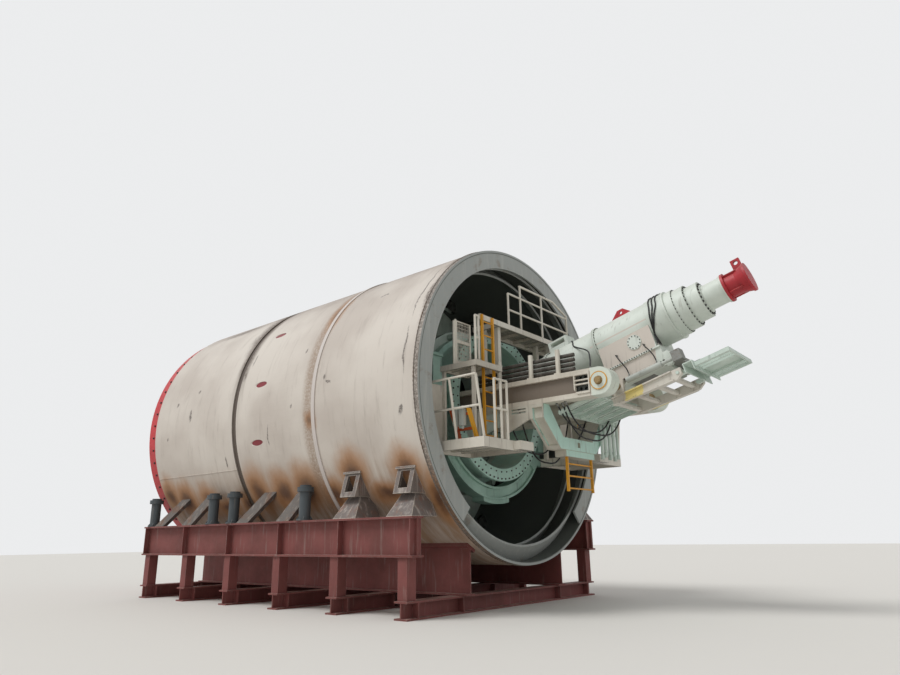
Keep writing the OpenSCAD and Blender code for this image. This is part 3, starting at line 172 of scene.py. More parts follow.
def machine_place(tree):
    """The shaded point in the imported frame, from the tail rim, and with the near side folded over."""
    where = add(tree, "ShaderNodeTexCoord", out="Object")
    place = add(tree, "ShaderNodeVectorMath", {0: where, 1: rim}, 0, operation="SUBTRACT")
    cut = add(tree, "ShaderNodeSeparateXYZ", {0: place})
    side = add(tree, "ShaderNodeMath", {0: cut.outputs["Y"]}, 0, operation="ABSOLUTE")
    folded = add(tree, "ShaderNodeCombineXYZ", {0: cut.outputs["X"], 1: side, 2: cut.outputs["Z"]}, 0)
    return where, place, folded


def in_box(tree, point, low, high):
    """1 where point is between two corners, and 0 elsewhere."""
    low, high = Vector(low), Vector(high)
    off = add(tree, "ShaderNodeVectorMath", {0: point, 1: (low + high) / 2}, 0, operation="SUBTRACT")
    off = add(tree, "ShaderNodeVectorMath", {0: off}, 0, operation="ABSOLUTE")
    off = add(tree, "ShaderNodeVectorMath", {0: off, 1: (high - low) / 2}, 0, operation="SUBTRACT")
    cut = add(tree, "ShaderNodeSeparateXYZ", {0: off})
    most = add(tree, "ShaderNodeMath", {0: cut.outputs["X"], 1: cut.outputs["Y"]}, 0, operation="MAXIMUM")
    most = add(tree, "ShaderNodeMath", {0: most, 1: cut.outputs["Z"]}, 0, operation="MAXIMUM")
    return add(tree, "ShaderNodeMath", {0: most, 1: 0.0}, 0, operation="LESS_THAN")


def flatness(tree, reach):
    """1 on a flat face, and less within reach, in metres, of an edge."""
    rounded = add(tree, "ShaderNodeBevel", {"Radius": reach}, "Normal", samples=4)
    true = add(tree, "ShaderNodeNewGeometry", out="Normal")
    return add(tree, "ShaderNodeVectorMath", {0: rounded, 1: true}, "Value", operation="DOT_PRODUCT")


def drawn_out(tree, where, apart, detail, roughness=0.5):
    """A noise whose blotches lie so many millimetres apart along X, Y and Z."""
    drawn = add(tree, "ShaderNodeMapping", {"Vector": where, "Scale": [per(mm) for mm in apart]}, "Vector")
    return add(tree, "ShaderNodeTexNoise", {"Vector": drawn, "Scale": 1.0, "Detail": detail,
                                            "Roughness": roughness}, "Fac")


def dress(tree, shader, colour, gloss_by, smooth, dull, skin_by, strength, depth, waves=None):
    """Links a colour, a roughness between smooth and dull, and a skin with bumps so many metres deep."""
    rough = add(tree, "ShaderNodeMapRange", {"Value": gloss_by, "To Min": smooth, "To Max": dull}, "Result")
    bumps = {"Height": skin_by, "Strength": strength, "Distance": depth}
    if waves is not None:
        bumps["Normal"] = waves
    skin = add(tree, "ShaderNodeBump", bumps, "Normal")
    for value, socket in ((colour, "Base Color"), (rough, "Roughness"), (skin, "Normal")):
        tree.links.new(value, shader.inputs[socket])


print("coats and measures ready")

# %% [markdown]
# Most of the machine is sprayed enamel on welded plate. New enamel is even and has a soft gloss. On a
# building site it gets a film of dust on what faces up, streaks that run down, and dark, worn edges. One
# recipe makes all of these, so the wear is alike, and each paint then has its own colours. Some parts are
# painted in two colours, so the recipe may name boxes that get another paint, painted light or painted
# shade, and a tint of painted lamp light for what faces back. A platform's open grating is drawn too,
# because its bars would be thousands of faces, and its openings get painted shade.

# %% Sprayed enamel with dust, streaks and worn edges
# millimetres between cross bars and between bearing bars, and an opening's place in that pitch
GRATING_PITCH = (100, 34)
OPENING = ((0.09, 0.25, -1.0), (1.1, 1.1, 1.0))


def grating_openings(tree, where):
    """1 between the bearing bars and cross bars of a grating, and 0 on them."""
    pitch = (per(GRATING_PITCH[0]), per(GRATING_PITCH[1]), 0.0)
    cell = add(tree, "ShaderNodeVectorMath", {0: where, 1: pitch}, 0, operation="MULTIPLY")
    cell = add(tree, "ShaderNodeVectorMath", {0: cell}, 0, operation="FRACTION")
    return in_box(tree, cell, *OPENING)


def enamel(name, base, shade, worn, dust="#b7aea0", wear=0.5, dusty=0.35, gloss=0.42, streaks=0.5, zones=(),
           lamp_lit_back=None, opening_shade=None):
    """Enamel in two shades, with zones of other paint, painted light and painted shade, painted lamp light
    on what faces back, painted shade in a grating's openings, streaks and edges in a worn colour, and dust.
    """
    material, tree, shader = new_material(name)
    where, place, folded = machine_place(tree)
    patches = add(tree, "ShaderNodeTexNoise", {"Vector": where, "Scale": per(769), "Detail": 6.0,
                                               "Roughness": 0.6}, "Fac")
    grime = add(tree, "ShaderNodeTexNoise", {"Vector": where, "Scale": per(111), "Detail": 8.0,
                                             "Roughness": 0.7}, "Fac")
    facing = add(tree, "ShaderNodeSeparateXYZ", {0: add(tree, "ShaderNodeTexCoord", out="Normal")})
    level = add(tree, "ShaderNodeMath", {0: facing.outputs["Z"]}, 0, operation="ABSOLUTE")
    colour = coat(tree, paint(base), patches, 0.35, 0.70, 1.0, shade)
    # what faces back gets a mint tint of painted lamp light
    if lamp_lit_back:
        colour = coat(tree, colour, facing.outputs["X"], 0.6, 0.8, 1.0, lamp_lit_back)
    for low, high, other in zones:
        colour = coat(tree, colour, in_box(tree, folded, low, high), 0.0, 1.0, 1.0, other)
    # a grating's openings are painted dark grey-brown: painted shade seen through them
    if opening_shade:
        openings = grating_openings(tree, where)
        colour = coat(tree, colour, level, 0.8, 0.95, 0.85, opening_shade, within=(openings, 0.0, 1.0))
    # streaks run down what stands steep
    run_down = drawn_out(tree, where, (62.5, 62.5, 714), 5.0)
    colour = coat(tree, colour, run_down, 0.56, 0.78, streaks, worn, within=(level, 0.85, 0.40))
    # dust lies on what faces up
    colour = coat(tree, colour, facing.outputs["Z"], 0.35, 0.95, dusty, dust, within=(grime, 0.30, 0.62))
    # paint is chipped along the edges, drawn 12 mm wide so that it shows from afar
    edges = flatness(tree, 0.012)
    colour = coat(tree, colour, edges, 0.995, 0.90, wear, worn, within=(grime, 0.42, 0.60))
    dress(tree, shader, colour, grime, gloss - 0.08, gloss + 0.25, grime, 0.25, 0.002)
    return material


print("grating pitch", GRATING_PITCH, "mm")

# %% [markdown]
# Each paint follows with its colour, the shade of its patches, and the tone of its streaks and edges. Gloss
# is the roughness of the clean paint: about 0.4 for satin enamel, and 0.6 for a primer left as it was. The
# shader's own IOR of 1.5 is that of paint. A zone is two corners from the rim, and the paint, painted light
# or painted shade between them.

# %% Paints of the beams, platforms and conveyor
# warm satin cream on the main beams; their end is paler and greener as painted lamp light, the floor of
# their recess is painted dark brown, and its windows are painted dark inside as painted shade
BEAM_FACE = 1.24
RECESS_FLOOR = BEAM_FACE - 0.07
BEAM_ZONES = [((2.28, 0.9, -0.4), (2.8, 1.3, 0.2), "#d3dbcf"),
              ((-3.2, RECESS_FLOOR - 0.006, -0.29), (2.14, RECESS_FLOOR + 0.006, 0.03), "#776c60"),
              ((1.95, 1.05, -0.30), (2.27, 1.205, 0.08), "#3d423e")]
beam_cream = enamel("cream beam enamel", "#d6d0c3", "#c0b8a9", "#6d5b4c", zones=BEAM_ZONES)
# the same cream on platforms: it looks grey-brown from above, where the grating is open and its openings get
# painted shade
cream = enamel("cream platform enamel", "#d9d4c8", "#c4bdaf", "#75685a", opening_shade="#5d5a52")
# handrails are rubbed clean, so their cream is the brightest
rail_cream = enamel("cream handrail enamel", "#ded9cc", "#c9c2b4", "#75685a")
# the yoke is cream outside, and the face that looks back is tinted mint as painted lamp light
yoke_paint = enamel("cream yoke enamel with lamp-lit mint back", "#d3cfc2", "#bdb8a9", "#6a5a4c", lamp_lit_back=MINT)
# off-white on the conveyor, with brown streaks and a yellowed plate
off_white = enamel("off-white conveyor enamel", "#d3cfc4", "#bdb3a6", "#6a5a4c", streaks=0.6,
                   zones=[((2.6, 0.55, -0.45), (2.95, 0.7, 0.3), "#dccb84")])
# safety yellow on ladders, worn to brown steel on the rungs
yellow = enamel("yellow ladder paint", "#e0a024", "#cc8d1e", "#5b4632", wear=0.8)
# the valve stand is orange with a yellow post
orange = enamel("orange and yellow stand paint", "#c4592a", "#a94e26", "#564036", wear=0.8,
                zones=[((0.38, 1.5, -1.2), (0.5, 3.0, 0.0), "#dfa024")])
print("paints so far", len(bpy.data.materials))

# %% [markdown]
# The machine's working parts have greener paints, the cutterhead and the screw's end cap are red, and the
# cradle wears only its primer.

# %% Paints of the screw, erector, cutterhead and cradle
# pale green machine enamel on the inner frames: satin and cool, nearly white in full light
pale_green = enamel("pale green machine enamel", "#cddbd1", "#b4c4b9", "#4f4c45", streaks=0.35)
# the screw's round casing is greenish white, and the flat sides of its gate housing are a warmer white
screw_white = enamel("greenish white screw enamel", "#d8dfd6", "#c6cec4", "#655c50", streaks=0.4,
                     zones=[((1.9, 0.4496, -0.2), (3.2, 0.4504, 1.1), "#cfc6bb")])
# mint on the erector's ring, and a deeper tone on its gripper
mint = enamel("mint green enamel", MINT, "#a2c4b6", "#4a4f49", wear=0.6)
deep_mint = enamel("deep mint enamel", "#a3c3b5", "#86a899", "#46504a", wear=0.6)
# red oxide primer on the cradle: dull, chalky and rubbed pale at its edges
primer = enamel("red oxide primer", "#7c4440", "#683833", "#8f8079", dust="#ab9388", wear=0.8, dusty=0.6,
                gloss=0.62)
# bright red on the cutterhead, a deeper red on the end cap, and a dark one on the plugs
head_red = enamel("red cutterhead paint", "#c22f35", "#a32a2e", "#5a3029", wear=0.7)
cap_red = enamel("red end cap paint", "#b9242f", "#952028", "#3f2a28", wear=0.5)
plug_red = enamel("dark red plug paint", "#8a2630", "#741f28", "#3f2a28")
# jacks are slate grey with pale scratches, and hydraulic cylinders are pale grey
slate = enamel("slate jack paint", "#474e52", "#3c4347", "#7c736a", wear=0.6)
cylinder_grey = enamel("pale grey cylinder enamel", "#b7bcb4", "#9ba09a", "#55504a")
print("enamels", len(bpy.data.materials))

# %% [markdown]
# The brackets are cut from bare plate, flame cut and left to rust, so they are grey mill scale with brown
# patches, and rain left pale streaks. The cutter tools are hard steel with the same thin rust. One recipe
# with rust in patches makes them all. Scale and rust don't look like metal, so the metallic value is only as
# high as the steel shows through.

# %% Bare plate that rusts
def rusting(name, scale_colour, rust_colour, bright_rust, amount=0.5, metal=0.35, streak=None, lip=None):
    """Steel with rust over a share of it, bright rust in its pits, pale streaks and bright cut edges."""
    material, tree, shader = new_material(name)
    where = add(tree, "ShaderNodeTexCoord", out="Object")
    patches = add(tree, "ShaderNodeTexNoise", {"Vector": where, "Scale": per(312.5), "Detail": 9.0,
                                               "Roughness": 0.65}, "Fac")
    # real pits are under a millimetre, and these are drawn coarse enough to show
    pits = add(tree, "ShaderNodeTexNoise", {"Vector": where, "Scale": per(22.2), "Detail": 4.0}, "Fac")
    edge = 0.62 - amount * 0.3
    colour = coat(tree, paint(scale_colour), patches, edge, edge + 0.12, 1.0, rust_colour)
    colour = coat(tree, colour, pits, 0.55, 0.75, 1.0, bright_rust)
    if streak:
        run_down = drawn_out(tree, where, (83.3, 83.3, 1111), 6.0)
        colour = coat(tree, colour, run_down, 0.50, 0.72, 0.6, streak)
    if lip:
        colour = coat(tree, colour, flatness(tree, 0.02), 0.995, 0.88, 0.75, lip)
    shader.inputs["Metallic"].default_value = metal
    dress(tree, shader, colour, patches, 0.48, 0.88, pits, 0.35, 0.003)
    return material


print("recipe for rusting steel ready")

# %% [markdown]
# What differs from steel to steel is how much of it has rusted, and how much metal still shines.

# %% Steels and bronze
# flame-cut plate: grey scale, a bright ground lip, and pale streaks of rain
bracket_plate = rusting("flame-cut bracket plate", "#6f6763", "#7b6054", "#8f7a6c", amount=0.3, metal=0.15,
                        streak="#b5aca4", lip="#cfc6b8")
brace_plate = rusting("flame-cut brace plate", "#605b57", "#6b5548", "#84705f", amount=0.3, metal=0.25,
                      streak="#948b83")
# hard tool steel: grey, with thin brown rust
tool_steel = rusting("hard tool steel", "#77726c", "#6b5345", "#8c6f58", amount=0.35, metal=0.6)
# nearly black steel on the rack pipes, with a grey drag
nearly_black_steel = rusting("nearly black pipe steel", "#4c4843", "#403b36", "#5f574e", amount=0.4, metal=0.3,
                     streak="#6d665d")
# the rim's plate was ground: pale grey and dull, so it isn't metallic
rim_steel = rusting("ground rim plate", "#a0a4a1", "#928e86", "#aca79e", amount=0.2, metal=0.0,
                    streak="#b4b6b1")
# machined steel shines, bolts are dark and oiled, a pin's bronze face is brown-yellow
plain_steel = rusting("bare machined steel", "#8f908c", "#7a7068", "#857363", amount=0.15, metal=0.7)
bolt_steel = rusting("dark bolt steel", "#4b4a48", "#54463c", "#67564a", amount=0.3, metal=0.6)
bronze = rusting("bronze pin face", "#a18a63", "#86704c", "#6b573c", amount=0.2, metal=0.7)
# a weld bead that was never painted: grey slag with brown between
weld_steel = rusting("bare weld bead", "#7f776f", "#6d5a4b", "#a1978c", amount=0.4, metal=0.4)
print("steels", len(bpy.data.materials))

# %% [markdown]
# A hydraulic rod is ground and hard chromed: a true metal with a tight gloss. Hoses are black rubber, which
# is dull and never quite black. Both are even, so one noise for smears of oil or dust is enough.

# %% Chrome and rubber
def smeared(name, colour, smear, apart, detail, start, full, metal, rough):
    """An even surface with smears of another tone, so many millimetres apart."""
    material, tree, shader = new_material(name)
    where = add(tree, "ShaderNodeTexCoord", out="Object")
    smears = add(tree, "ShaderNodeTexNoise", {"Vector": where, "Scale": per(apart), "Detail": detail}, "Fac")
    tree.links.new(coat(tree, paint(colour), smears, start, full, 1.0, smear), shader.inputs["Base Color"])
    shader.inputs["Metallic"].default_value = metal
    shader.inputs["Roughness"].default_value = rough
    return material


# ground chrome mirrors its surroundings, a little blurred: its roughness is about 0.2
chrome = smeared("hard chrome", "#c9c9c6", "#8d8a84", 166.7, 5.0, 0.4, 0.7, 1.0, 0.22)
# moulded rubber scatters light softly, at a roughness of about 0.6
rubber = smeared("hose rubber", "#1d1d1e", "#4a4640", 71.4, 6.0, 0.5, 0.75, 0.0, 0.62)
print("made", chrome.name, "and", rubber.name)

# %% [markdown]
# The shield is rolled plate with one thin coat of off-white alkyd paint, and it tells the machine's story.
# Brackets were welded to it, so the heat browned the paint over each of them. The seams were heated too, and
# soot runs down from the groove. The marks are easiest to place on the plate laid flat: along the machine,
# and up around it from the lowest line. Each is a soft oval there, and both sides of the machine get it.

# %% Places of burns and soot on the shield
seam_2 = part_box("tail_shield")[0][0] - rim.x
seam_1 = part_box("middle_shield")[0][0] - rim.x
# x behind the rim and z over the axis of the hottest place, and its reach along the machine and around it
BURNS = [
    (-2.02, -1.55, 0.60, 0.72), (-0.62, -1.55, 0.52, 0.62), (-2.75, -1.90, 0.55, 0.60),
    (-3.55, -1.75, 0.70, 0.75), (-4.35, -1.80, 0.65, 0.70), (-5.20, -1.75, 0.60, 0.85),
    (-5.75, -2.00, 0.60, 0.55), (-6.60, -2.00, 0.80, 0.40), (-7.30, -1.85, 0.60, 0.65),
    (-8.25, -1.80, 0.70, 0.70), (-8.90, -1.65, 0.55, 0.70), (-0.15, -2.10, 0.35, 0.90),
    (-2.97, -0.40, 0.24, 0.26), (-2.95, 2.00, 0.26, 0.80), (-1.30, -1.95, 0.70, 0.40)]
SOOT = [
    (-5.78, 2.20, 0.40, 1.00), (-5.80, 2.85, 0.55, 1.00), (-5.66, 1.30, 0.22, 0.80),
    (-5.52, 0.90, 0.07, 0.16), (-6.60, 3.05, 0.80, 0.30), (-7.50, 2.62, 1.00, 0.26),
    (-8.20, 2.98, 1.10, 0.30), (-2.92, 2.90, 0.28, 0.60), (-0.14, 2.75, 0.16, 0.70),
    (-0.10, 1.70, 0.10, 0.80), (-4.30, 3.15, 1.20, 0.40), (-1.30, 3.22, 1.30, 0.40)]
# small dark scrapes and burn spots on the paint
SCRAPES = [
    (-0.36, 0.55, 0.025, 0.42), (-0.33, 1.90, 0.016, 0.70), (-0.45, -0.55, 0.05, 0.06),
    (-2.55, 0.35, 0.03, 0.05), (-2.42, 0.25, 0.05, 0.03), (-3.40, 1.10, 0.03, 0.06),
    (-3.60, -0.10, 0.02, 0.03), (-8.60, -0.30, 0.03, 0.03), (-5.35, 1.25, 0.03, 0.14),
    (-7.60, 0.20, 0.03, 0.16), (-7.45, 0.75, 0.05, 0.05), (-8.35, 0.55, 0.04, 0.06),
    (-6.10, -1.05, 0.03, 0.10), (-4.40, -0.60, 0.02, 0.20), (-1.60, 2.10, 0.10, 0.02)]
print("burns", len(BURNS), "soot marks", len(SOOT), "scrapes", len(SCRAPES))

# %% [markdown]
# The coats go by a few measures: how high a point is, how far it lies from a mark, and noises for the film
# of paint, for rain and for grain. Laying the plate flat is an arc tangent times the radius. A noise bends
# the flat place a little, so no mark is a true oval.

# %% Measures on the shield
# how far noise pushes a mark along the machine and around it, in metres
BEND = (0.28, 0.40, 0.0)


def shield_measures(tree):
    """What the shield's coats go by, under plain names."""
    where, place, folded = machine_place(tree)
    cut = add(tree, "ShaderNodeSeparateXYZ", {0: folded})
    under = add(tree, "ShaderNodeMath", {0: cut.outputs["Z"], 1: -1.0}, 0, operation="MULTIPLY")
    angle = add(tree, "ShaderNodeMath", {0: cut.outputs["Y"], 1: under}, 0, operation="ARCTAN2")
    around = add(tree, "ShaderNodeMath", {0: angle, 1: shield_r}, 0, operation="MULTIPLY")
    flat = add(tree, "ShaderNodeCombineXYZ", {0: cut.outputs["X"], 1: around}, 0)
    push = add(tree, "ShaderNodeTexNoise", {"Vector": place, "Scale": per(454.5), "Detail": 7.0,
                                            "Roughness": 0.62}, "Color")
    push = add(tree, "ShaderNodeVectorMath", {0: push, 1: (0.5, 0.5, 0.5)}, 0, operation="SUBTRACT")
    flat = add(tree, "ShaderNodeVectorMath", {0: push, 1: BEND, 2: flat}, 0, operation="MULTIPLY_ADD")
    grain = add(tree, "ShaderNodeTexNoise", {"Vector": place, "Scale": per(41.67), "Detail": 8.0,
                                             "Roughness": 0.72}, "Fac")
    film = add(tree, "ShaderNodeTexNoise", {"Vector": place, "Scale": per(1818), "Detail": 5.0}, "Fac")
    rain = drawn_out(tree, place, (142.9, 1111, 1111), 7.0, 0.7)
    across = add(tree, "ShaderNodeCombineXYZ", {1: cut.outputs["Y"], 2: cut.outputs["Z"]}, 0)
    from_axis = add(tree, "ShaderNodeVectorMath", {0: across}, "Value", operation="LENGTH")
    return {"x": cut.outputs["X"], "height": cut.outputs["Z"], "from_axis": from_axis, "flat": flat,
            "film": film, "grain": grain, "rain": rain, "runs": (rain, 0.25, 0.60),
            "sooty": (grain, 0.30, 0.55)}


def from_marks(tree, flat, spots):
    """How far the nearest of some soft ovals is: 0 at its hottest place and 1 at its edge."""
    nearest = None
    for x, z, along, up in spots:
        round_to = shield_r * math.acos(-z / shield_r)
        off = add(tree, "ShaderNodeVectorMath", {0: flat, 1: (x, round_to, 0.0)}, 0, operation="SUBTRACT")
        off = add(tree, "ShaderNodeVectorMath", {0: off, 1: (1 / along, 1 / up, 0.0)}, 0,
                  operation="MULTIPLY")
        far = add(tree, "ShaderNodeVectorMath", {0: off}, "Value", operation="LENGTH")
        if nearest is not None:
            far = add(tree, "ShaderNodeMath", {0: nearest, 1: far}, 0, operation="MINIMUM")
        nearest = far
    return nearest


print("seams at", round(seam_1, 3), "and", round(seam_2, 3), "behind the rim")

# %% [markdown]
# The coats go on in the order in which the shield got them: weather first, then heat and soot, and last the
# seams, the ground rim and the inside; the painted shade on the top and on the inside goes on with them.
# Each group is a function that takes the colour so far and gives it back with its coats, so the order can
# be read, and changed, in one line.

# %% Coats of the shield
def weathered_and_shaded_top(tree, colour, by):
    """Paint that is thicker on some plates, rained on, darker on top with dust and painted shade, and brown
    with dirt low down.
    """
    thin = (by["film"], 0.25, 0.60)
    colour = coat(tree, colour, by["film"], 0.35, 0.68, 1.0, "#bfb5ab")
    colour = coat(tree, colour, by["rain"], 0.52, 0.78, 0.5, "#94897e")
    # the top is darkened with dust and with painted shade
    colour = coat(tree, colour, by["height"], 1.6, 3.3, 0.7, "#84756a", within=thin)
    return coat(tree, colour, by["height"], -0.9, -2.2, 0.8, "#9a7a5c", within=by["runs"])


def burnt_and_shaded_top(tree, colour, by):
    """Heat browns the paint and burns it dark at the hottest place, soot and painted shade darken the top,
    and soot and scrapes lie over it.
    """
    burn = from_marks(tree, by["flat"], BURNS)
    colour = coat(tree, colour, burn, 1.10, 0.30, 0.85, "#a8733f")
    colour = coat(tree, colour, burn, 0.55, 0.05, 0.85, "#50362a")
    # the top is darkened with soot and with painted shade
    colour = coat(tree, colour, by["height"], 2.35, 3.2, 0.8, "#68564a", within=by["runs"])
    soot = from_marks(tree, by["flat"], SOOT)
    colour = coat(tree, colour, soot, 1.15, 0.25, 0.85, "#4a3a2e", within=by["sooty"])
    scrapes = from_marks(tree, by["flat"], SCRAPES)
    return coat(tree, colour, scrapes, 1.4, 0.7, 0.8, "#3f3530", within=by["sooty"])


def seamed(tree, colour, by):
    """A dark groove with soot high up, a bright weld ridge beside a brown band, and a brown rim."""
    high = (by["height"], -0.5, 2.2)
    # x of a ring, how far off the coat starts and is full, its strength and colour, and what holds it back
    rings = [(seam_1, 0.30, 0.05, 0.8, "#5b4a3c", high),
             (seam_1, 0.085, 0.075, 1.0, "#574c43", None),
             (seam_2 - 0.10, 0.26, 0.06, 0.65, "#8a6d54", by["sooty"]),
             (seam_2 + 0.05, 0.056, 0.046, 0.95, "#cdc5bf", None),
             (seam_2 - 0.012, 0.016, 0.008, 0.8, "#4a4039", None),
             (0.0, 0.12, 0.085, 0.85, "#5f564e", by["sooty"])]
    for x, start, full, strength, code, within in rings:
        off = add(tree, "ShaderNodeMath", {0: by["x"], 1: x}, 0, operation="SUBTRACT")
        off = add(tree, "ShaderNodeMath", {0: off}, 0, operation="ABSOLUTE")
        colour = coat(tree, colour, off, start, full, strength, code, within)
    return colour


def bared_and_shaded_inside(tree, colour, by):
    """Specks everywhere, bare steel on the rear face, and the inside dark with primer and painted shade."""
    colour = coat(tree, colour, by["grain"], 0.70, 0.76, 0.5, "#54473d")
    facing = add(tree, "ShaderNodeSeparateXYZ", {0: add(tree, "ShaderNodeTexCoord", out="Normal")})
    at_rim = (by["x"], -0.03, -0.02)
    colour = coat(tree, colour, facing.outputs["X"], 0.7, 0.9, 1.0, "#a0a4a1", within=at_rim)
    # the inside is painted dark grey: its primer and painted shade
    return coat(tree, colour, by["from_axis"], shield_r - 0.035, shield_r - 0.055, 1.0, "#565a55")


SHIELD_COATS = (weathered_and_shaded_top, burnt_and_shaded_top, seamed, bared_and_shaded_inside)
print("groups of coats", len(SHIELD_COATS))

# %% [markdown]
# The paint itself is off-white. The plate under it isn't quite round, so long waves bend its gloss, and a
# fine grain lies over them.

# %% Shield paint
# alkyd paint that weathered: chalky off-white, dull where it is rough, with long waves in the plate
shield_coat, tree, shader = new_material("worn shield paint")
by = shield_measures(tree)
colour = paint("#d3cbc1")
for lay_coats in SHIELD_COATS:
    colour = lay_coats(tree, colour, by)
waves = add(tree, "ShaderNodeBump", {"Height": by["film"], "Strength": 0.5, "Distance": 0.03}, "Normal")
dress(tree, shader, colour, by["grain"], 0.42, 0.80, by["grain"], 0.25, 0.003, waves)
print("shield paint of", len(tree.nodes), "nodes")

# %% [markdown]
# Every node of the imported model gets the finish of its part. A CAD node keeps its mesh, so only what is in
# its material slots changes. A table shows at a glance what is finished alike.

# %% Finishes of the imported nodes
FINISHES = [
    (shield_coat, ["front_shield", "middle_shield", "tail_shield"]),
    (primer, ["cradle_cross_frames", "cradle_side_beams", "cradle_rails"]),
    (brace_plate, ["cradle_braces"]),
    (bracket_plate, ["cradle_wedges", "shield_brackets"]),
    (slate, ["lifting_jacks"]),
    (head_red, ["cutterhead_body"]),
    (cap_red, ["screw_end_cap", "casing_lug"]),
    (tool_steel, ["disc_cutters", "scraper_teeth"]),
    (rim_steel, ["tail_seals"]),
    (pale_green, ["bulkhead", "main_drive", "thrust_ring", "beam_frame", "erector_carriage", "beam_tray",
                  "hose_bundle", "conveyor_tip"]),
    (screw_white, ["screw_drum", "gate_housing", "screw_casing", "screw_end_rings"]),
    (mint, ["erector_ring", "lift_guides"]),
    (deep_mint, ["gripper_beam", "gripper_head"]),
    (yoke_paint, ["yoke_frame"]),
    (off_white, ["conveyor_frame"]),
    (beam_cream, ["main_beams"]),
    (cream, ["lower_platforms", "middle_platforms", "upper_platform"]),
    (rail_cream, ["pipe_racks", "platform_railings", "mesh_gate"]),
    (yellow, ["access_ladders", "rear_ladder"]),
    (orange, ["valve_stand"]),
    (cylinder_grey, ["thrust_cylinders", "gate_cylinders", "valve_blocks"]),
    (chrome, ["thrust_rams_top", "thrust_rams_right", "thrust_rams_bottom", "thrust_rams_left"]),
    (nearly_black_steel, ["rack_pipes"]),
    (bronze, ["beam_pin"]),
    (plain_steel, ["gate_slide"])]

finished = set()
for material, nodes in FINISHES:
    for node in nodes:
        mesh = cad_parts[node].data
        mesh.materials.clear()
        mesh.materials.append(material)
        finished.add(node)
print("finished nodes", len(finished), "left plain", sorted(set(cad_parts) - finished))

# %% [markdown]
# Small pieces are built with bmesh operators and all end the same way: normals made to point outwards, a
# material and a body to ride on. Their place is in their mesh, so each object stays at the origin, and the
# patterns on Object coordinates run on from part to part.

# %% Ending a small piece
def finish_piece(bm, name, material, body="machine", smooth=30):
    """Makes an object of a bmesh, and shades it smooth where its faces meet at less than an angle."""
    bmesh.ops.recalc_face_normals(bm, faces=bm.faces)
    mesh = bpy.data.meshes.new(name)
    for edge in bm.edges:
        edge.smooth = len(edge.link_faces) == 2 and edge.calc_face_angle() < math.radians(smooth)
    for face in bm.faces:
        face.smooth = True
    bm.to_mesh(mesh)
    bm.free()
    mesh.materials.append(material)
    piece = bpy.data.objects.new(name, mesh)
    scene.collection.objects.link(piece)
    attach(piece, body)
    print(name, len(mesh.polygons), "faces")


# %% [markdown]
# Flanges are held by rings of hexagon bolts. A thread is never seen, so one bolt is a washer and a six-sided
# head, and a ring places copies of it around an axis. An array modifier could turn the copies too, but a
# loop keeps all the rings of a part in one mesh.

# %% Bolts of the screw conveyor
def add_bolt(bm, place, size, sides=6):
    """One bolt head on a washer of radius size, standing on place's XY plane."""
    bmesh.ops.create_cone(bm, cap_ends=True, segments=12, radius1=size, radius2=size, depth=size * 0.2,
                          matrix=place @ Matrix.Translation((0, 0, size * 0.1)))
    bmesh.ops.create_cone(bm, cap_ends=True, segments=sides, radius1=size * 0.8, radius2=size * 0.8,
                          depth=size * 0.7, matrix=place @ Matrix.Translation((0, 0, size * 0.55)))


def ring_of_bolts(bm, base, radius, count, size):
    """Bolts around the Z axis of base, standing on its XY plane."""
    for i in range(count):
        turn = Matrix.Rotation(2 * math.pi * i / count, 4, "Z")
        add_bolt(bm, base @ turn @ Matrix.Translation((radius, 0, 0)), size)


# place along the screw, radius of the bolt circle, number and size of the bolts
SCREW_BOLTS = [(3.75, 0.425, 36, 0.013), (3.96, 0.380, 28, 0.019), (4.21, 0.300, 22, 0.024),
               (0.96, 0.465, 36, 0.012), (2.11, 0.465, 36, 0.012)]
look_back = Matrix.Rotation(math.pi / 2, 4, "Y")
bm = bmesh.new()
for s, radius, count, size in SCREW_BOLTS:
    ring_of_bolts(bm, screw_frame @ Matrix.Translation((s, 0, 0)) @ look_back, radius, count, size)
finish_piece(bm, "screw_bolts", bolt_steel)

# %% [markdown]
# The gate housing is bolted along its flanges and around its port covers. Its two sides are alike, so the
# same rows are laid twice, turned to look to either side.

# %% Bolts of the gate housing
# the port cover's place along and off the screw's axis, its face, and its bolt circle
PORT_AT = (2.835, -0.31)
PORT_FACE = 0.465
PORT_CIRCLE = (0.12, 12, 0.012)
# of a row: first and last place along the screw, number, distance to the side, height, size and sides
GATE_ROWS = [(2.24, 3.10, 18, 0.48, -0.585, 0.012, 6), (2.24, 3.23, 12, 0.48, -0.885, 0.023, 4)]


def spread(first, last, count):
    """Places from first to last, evenly spaced."""
    return [first + (last - first) * i / (count - 1) for i in range(count)]


bm = bmesh.new()
for flip in (-1, 1):
    sideways = Matrix.Rotation(-flip * math.pi / 2, 4, "X")
    port = screw_frame @ Matrix.Translation((PORT_AT[0], flip * PORT_FACE, PORT_AT[1])) @ sideways
    ring_of_bolts(bm, port, *PORT_CIRCLE)
    for first, last, count, y, n, size, sides in GATE_ROWS:
        for s in spread(first, last, count):
            add_bolt(bm, screw_frame @ Matrix.Translation((s, flip * y, n)) @ sideways, size, sides)
finish_piece(bm, "gate_bolts", bolt_steel)

# %% [markdown]
# The erector ring is bolted up from segments, so its rear flange has two bolt circles. The cutterhead's rim
# carries a row of plugs for its wear strips, which look outwards all around. Each piece rides on the body
# that it is screwed to, so it turns with it.

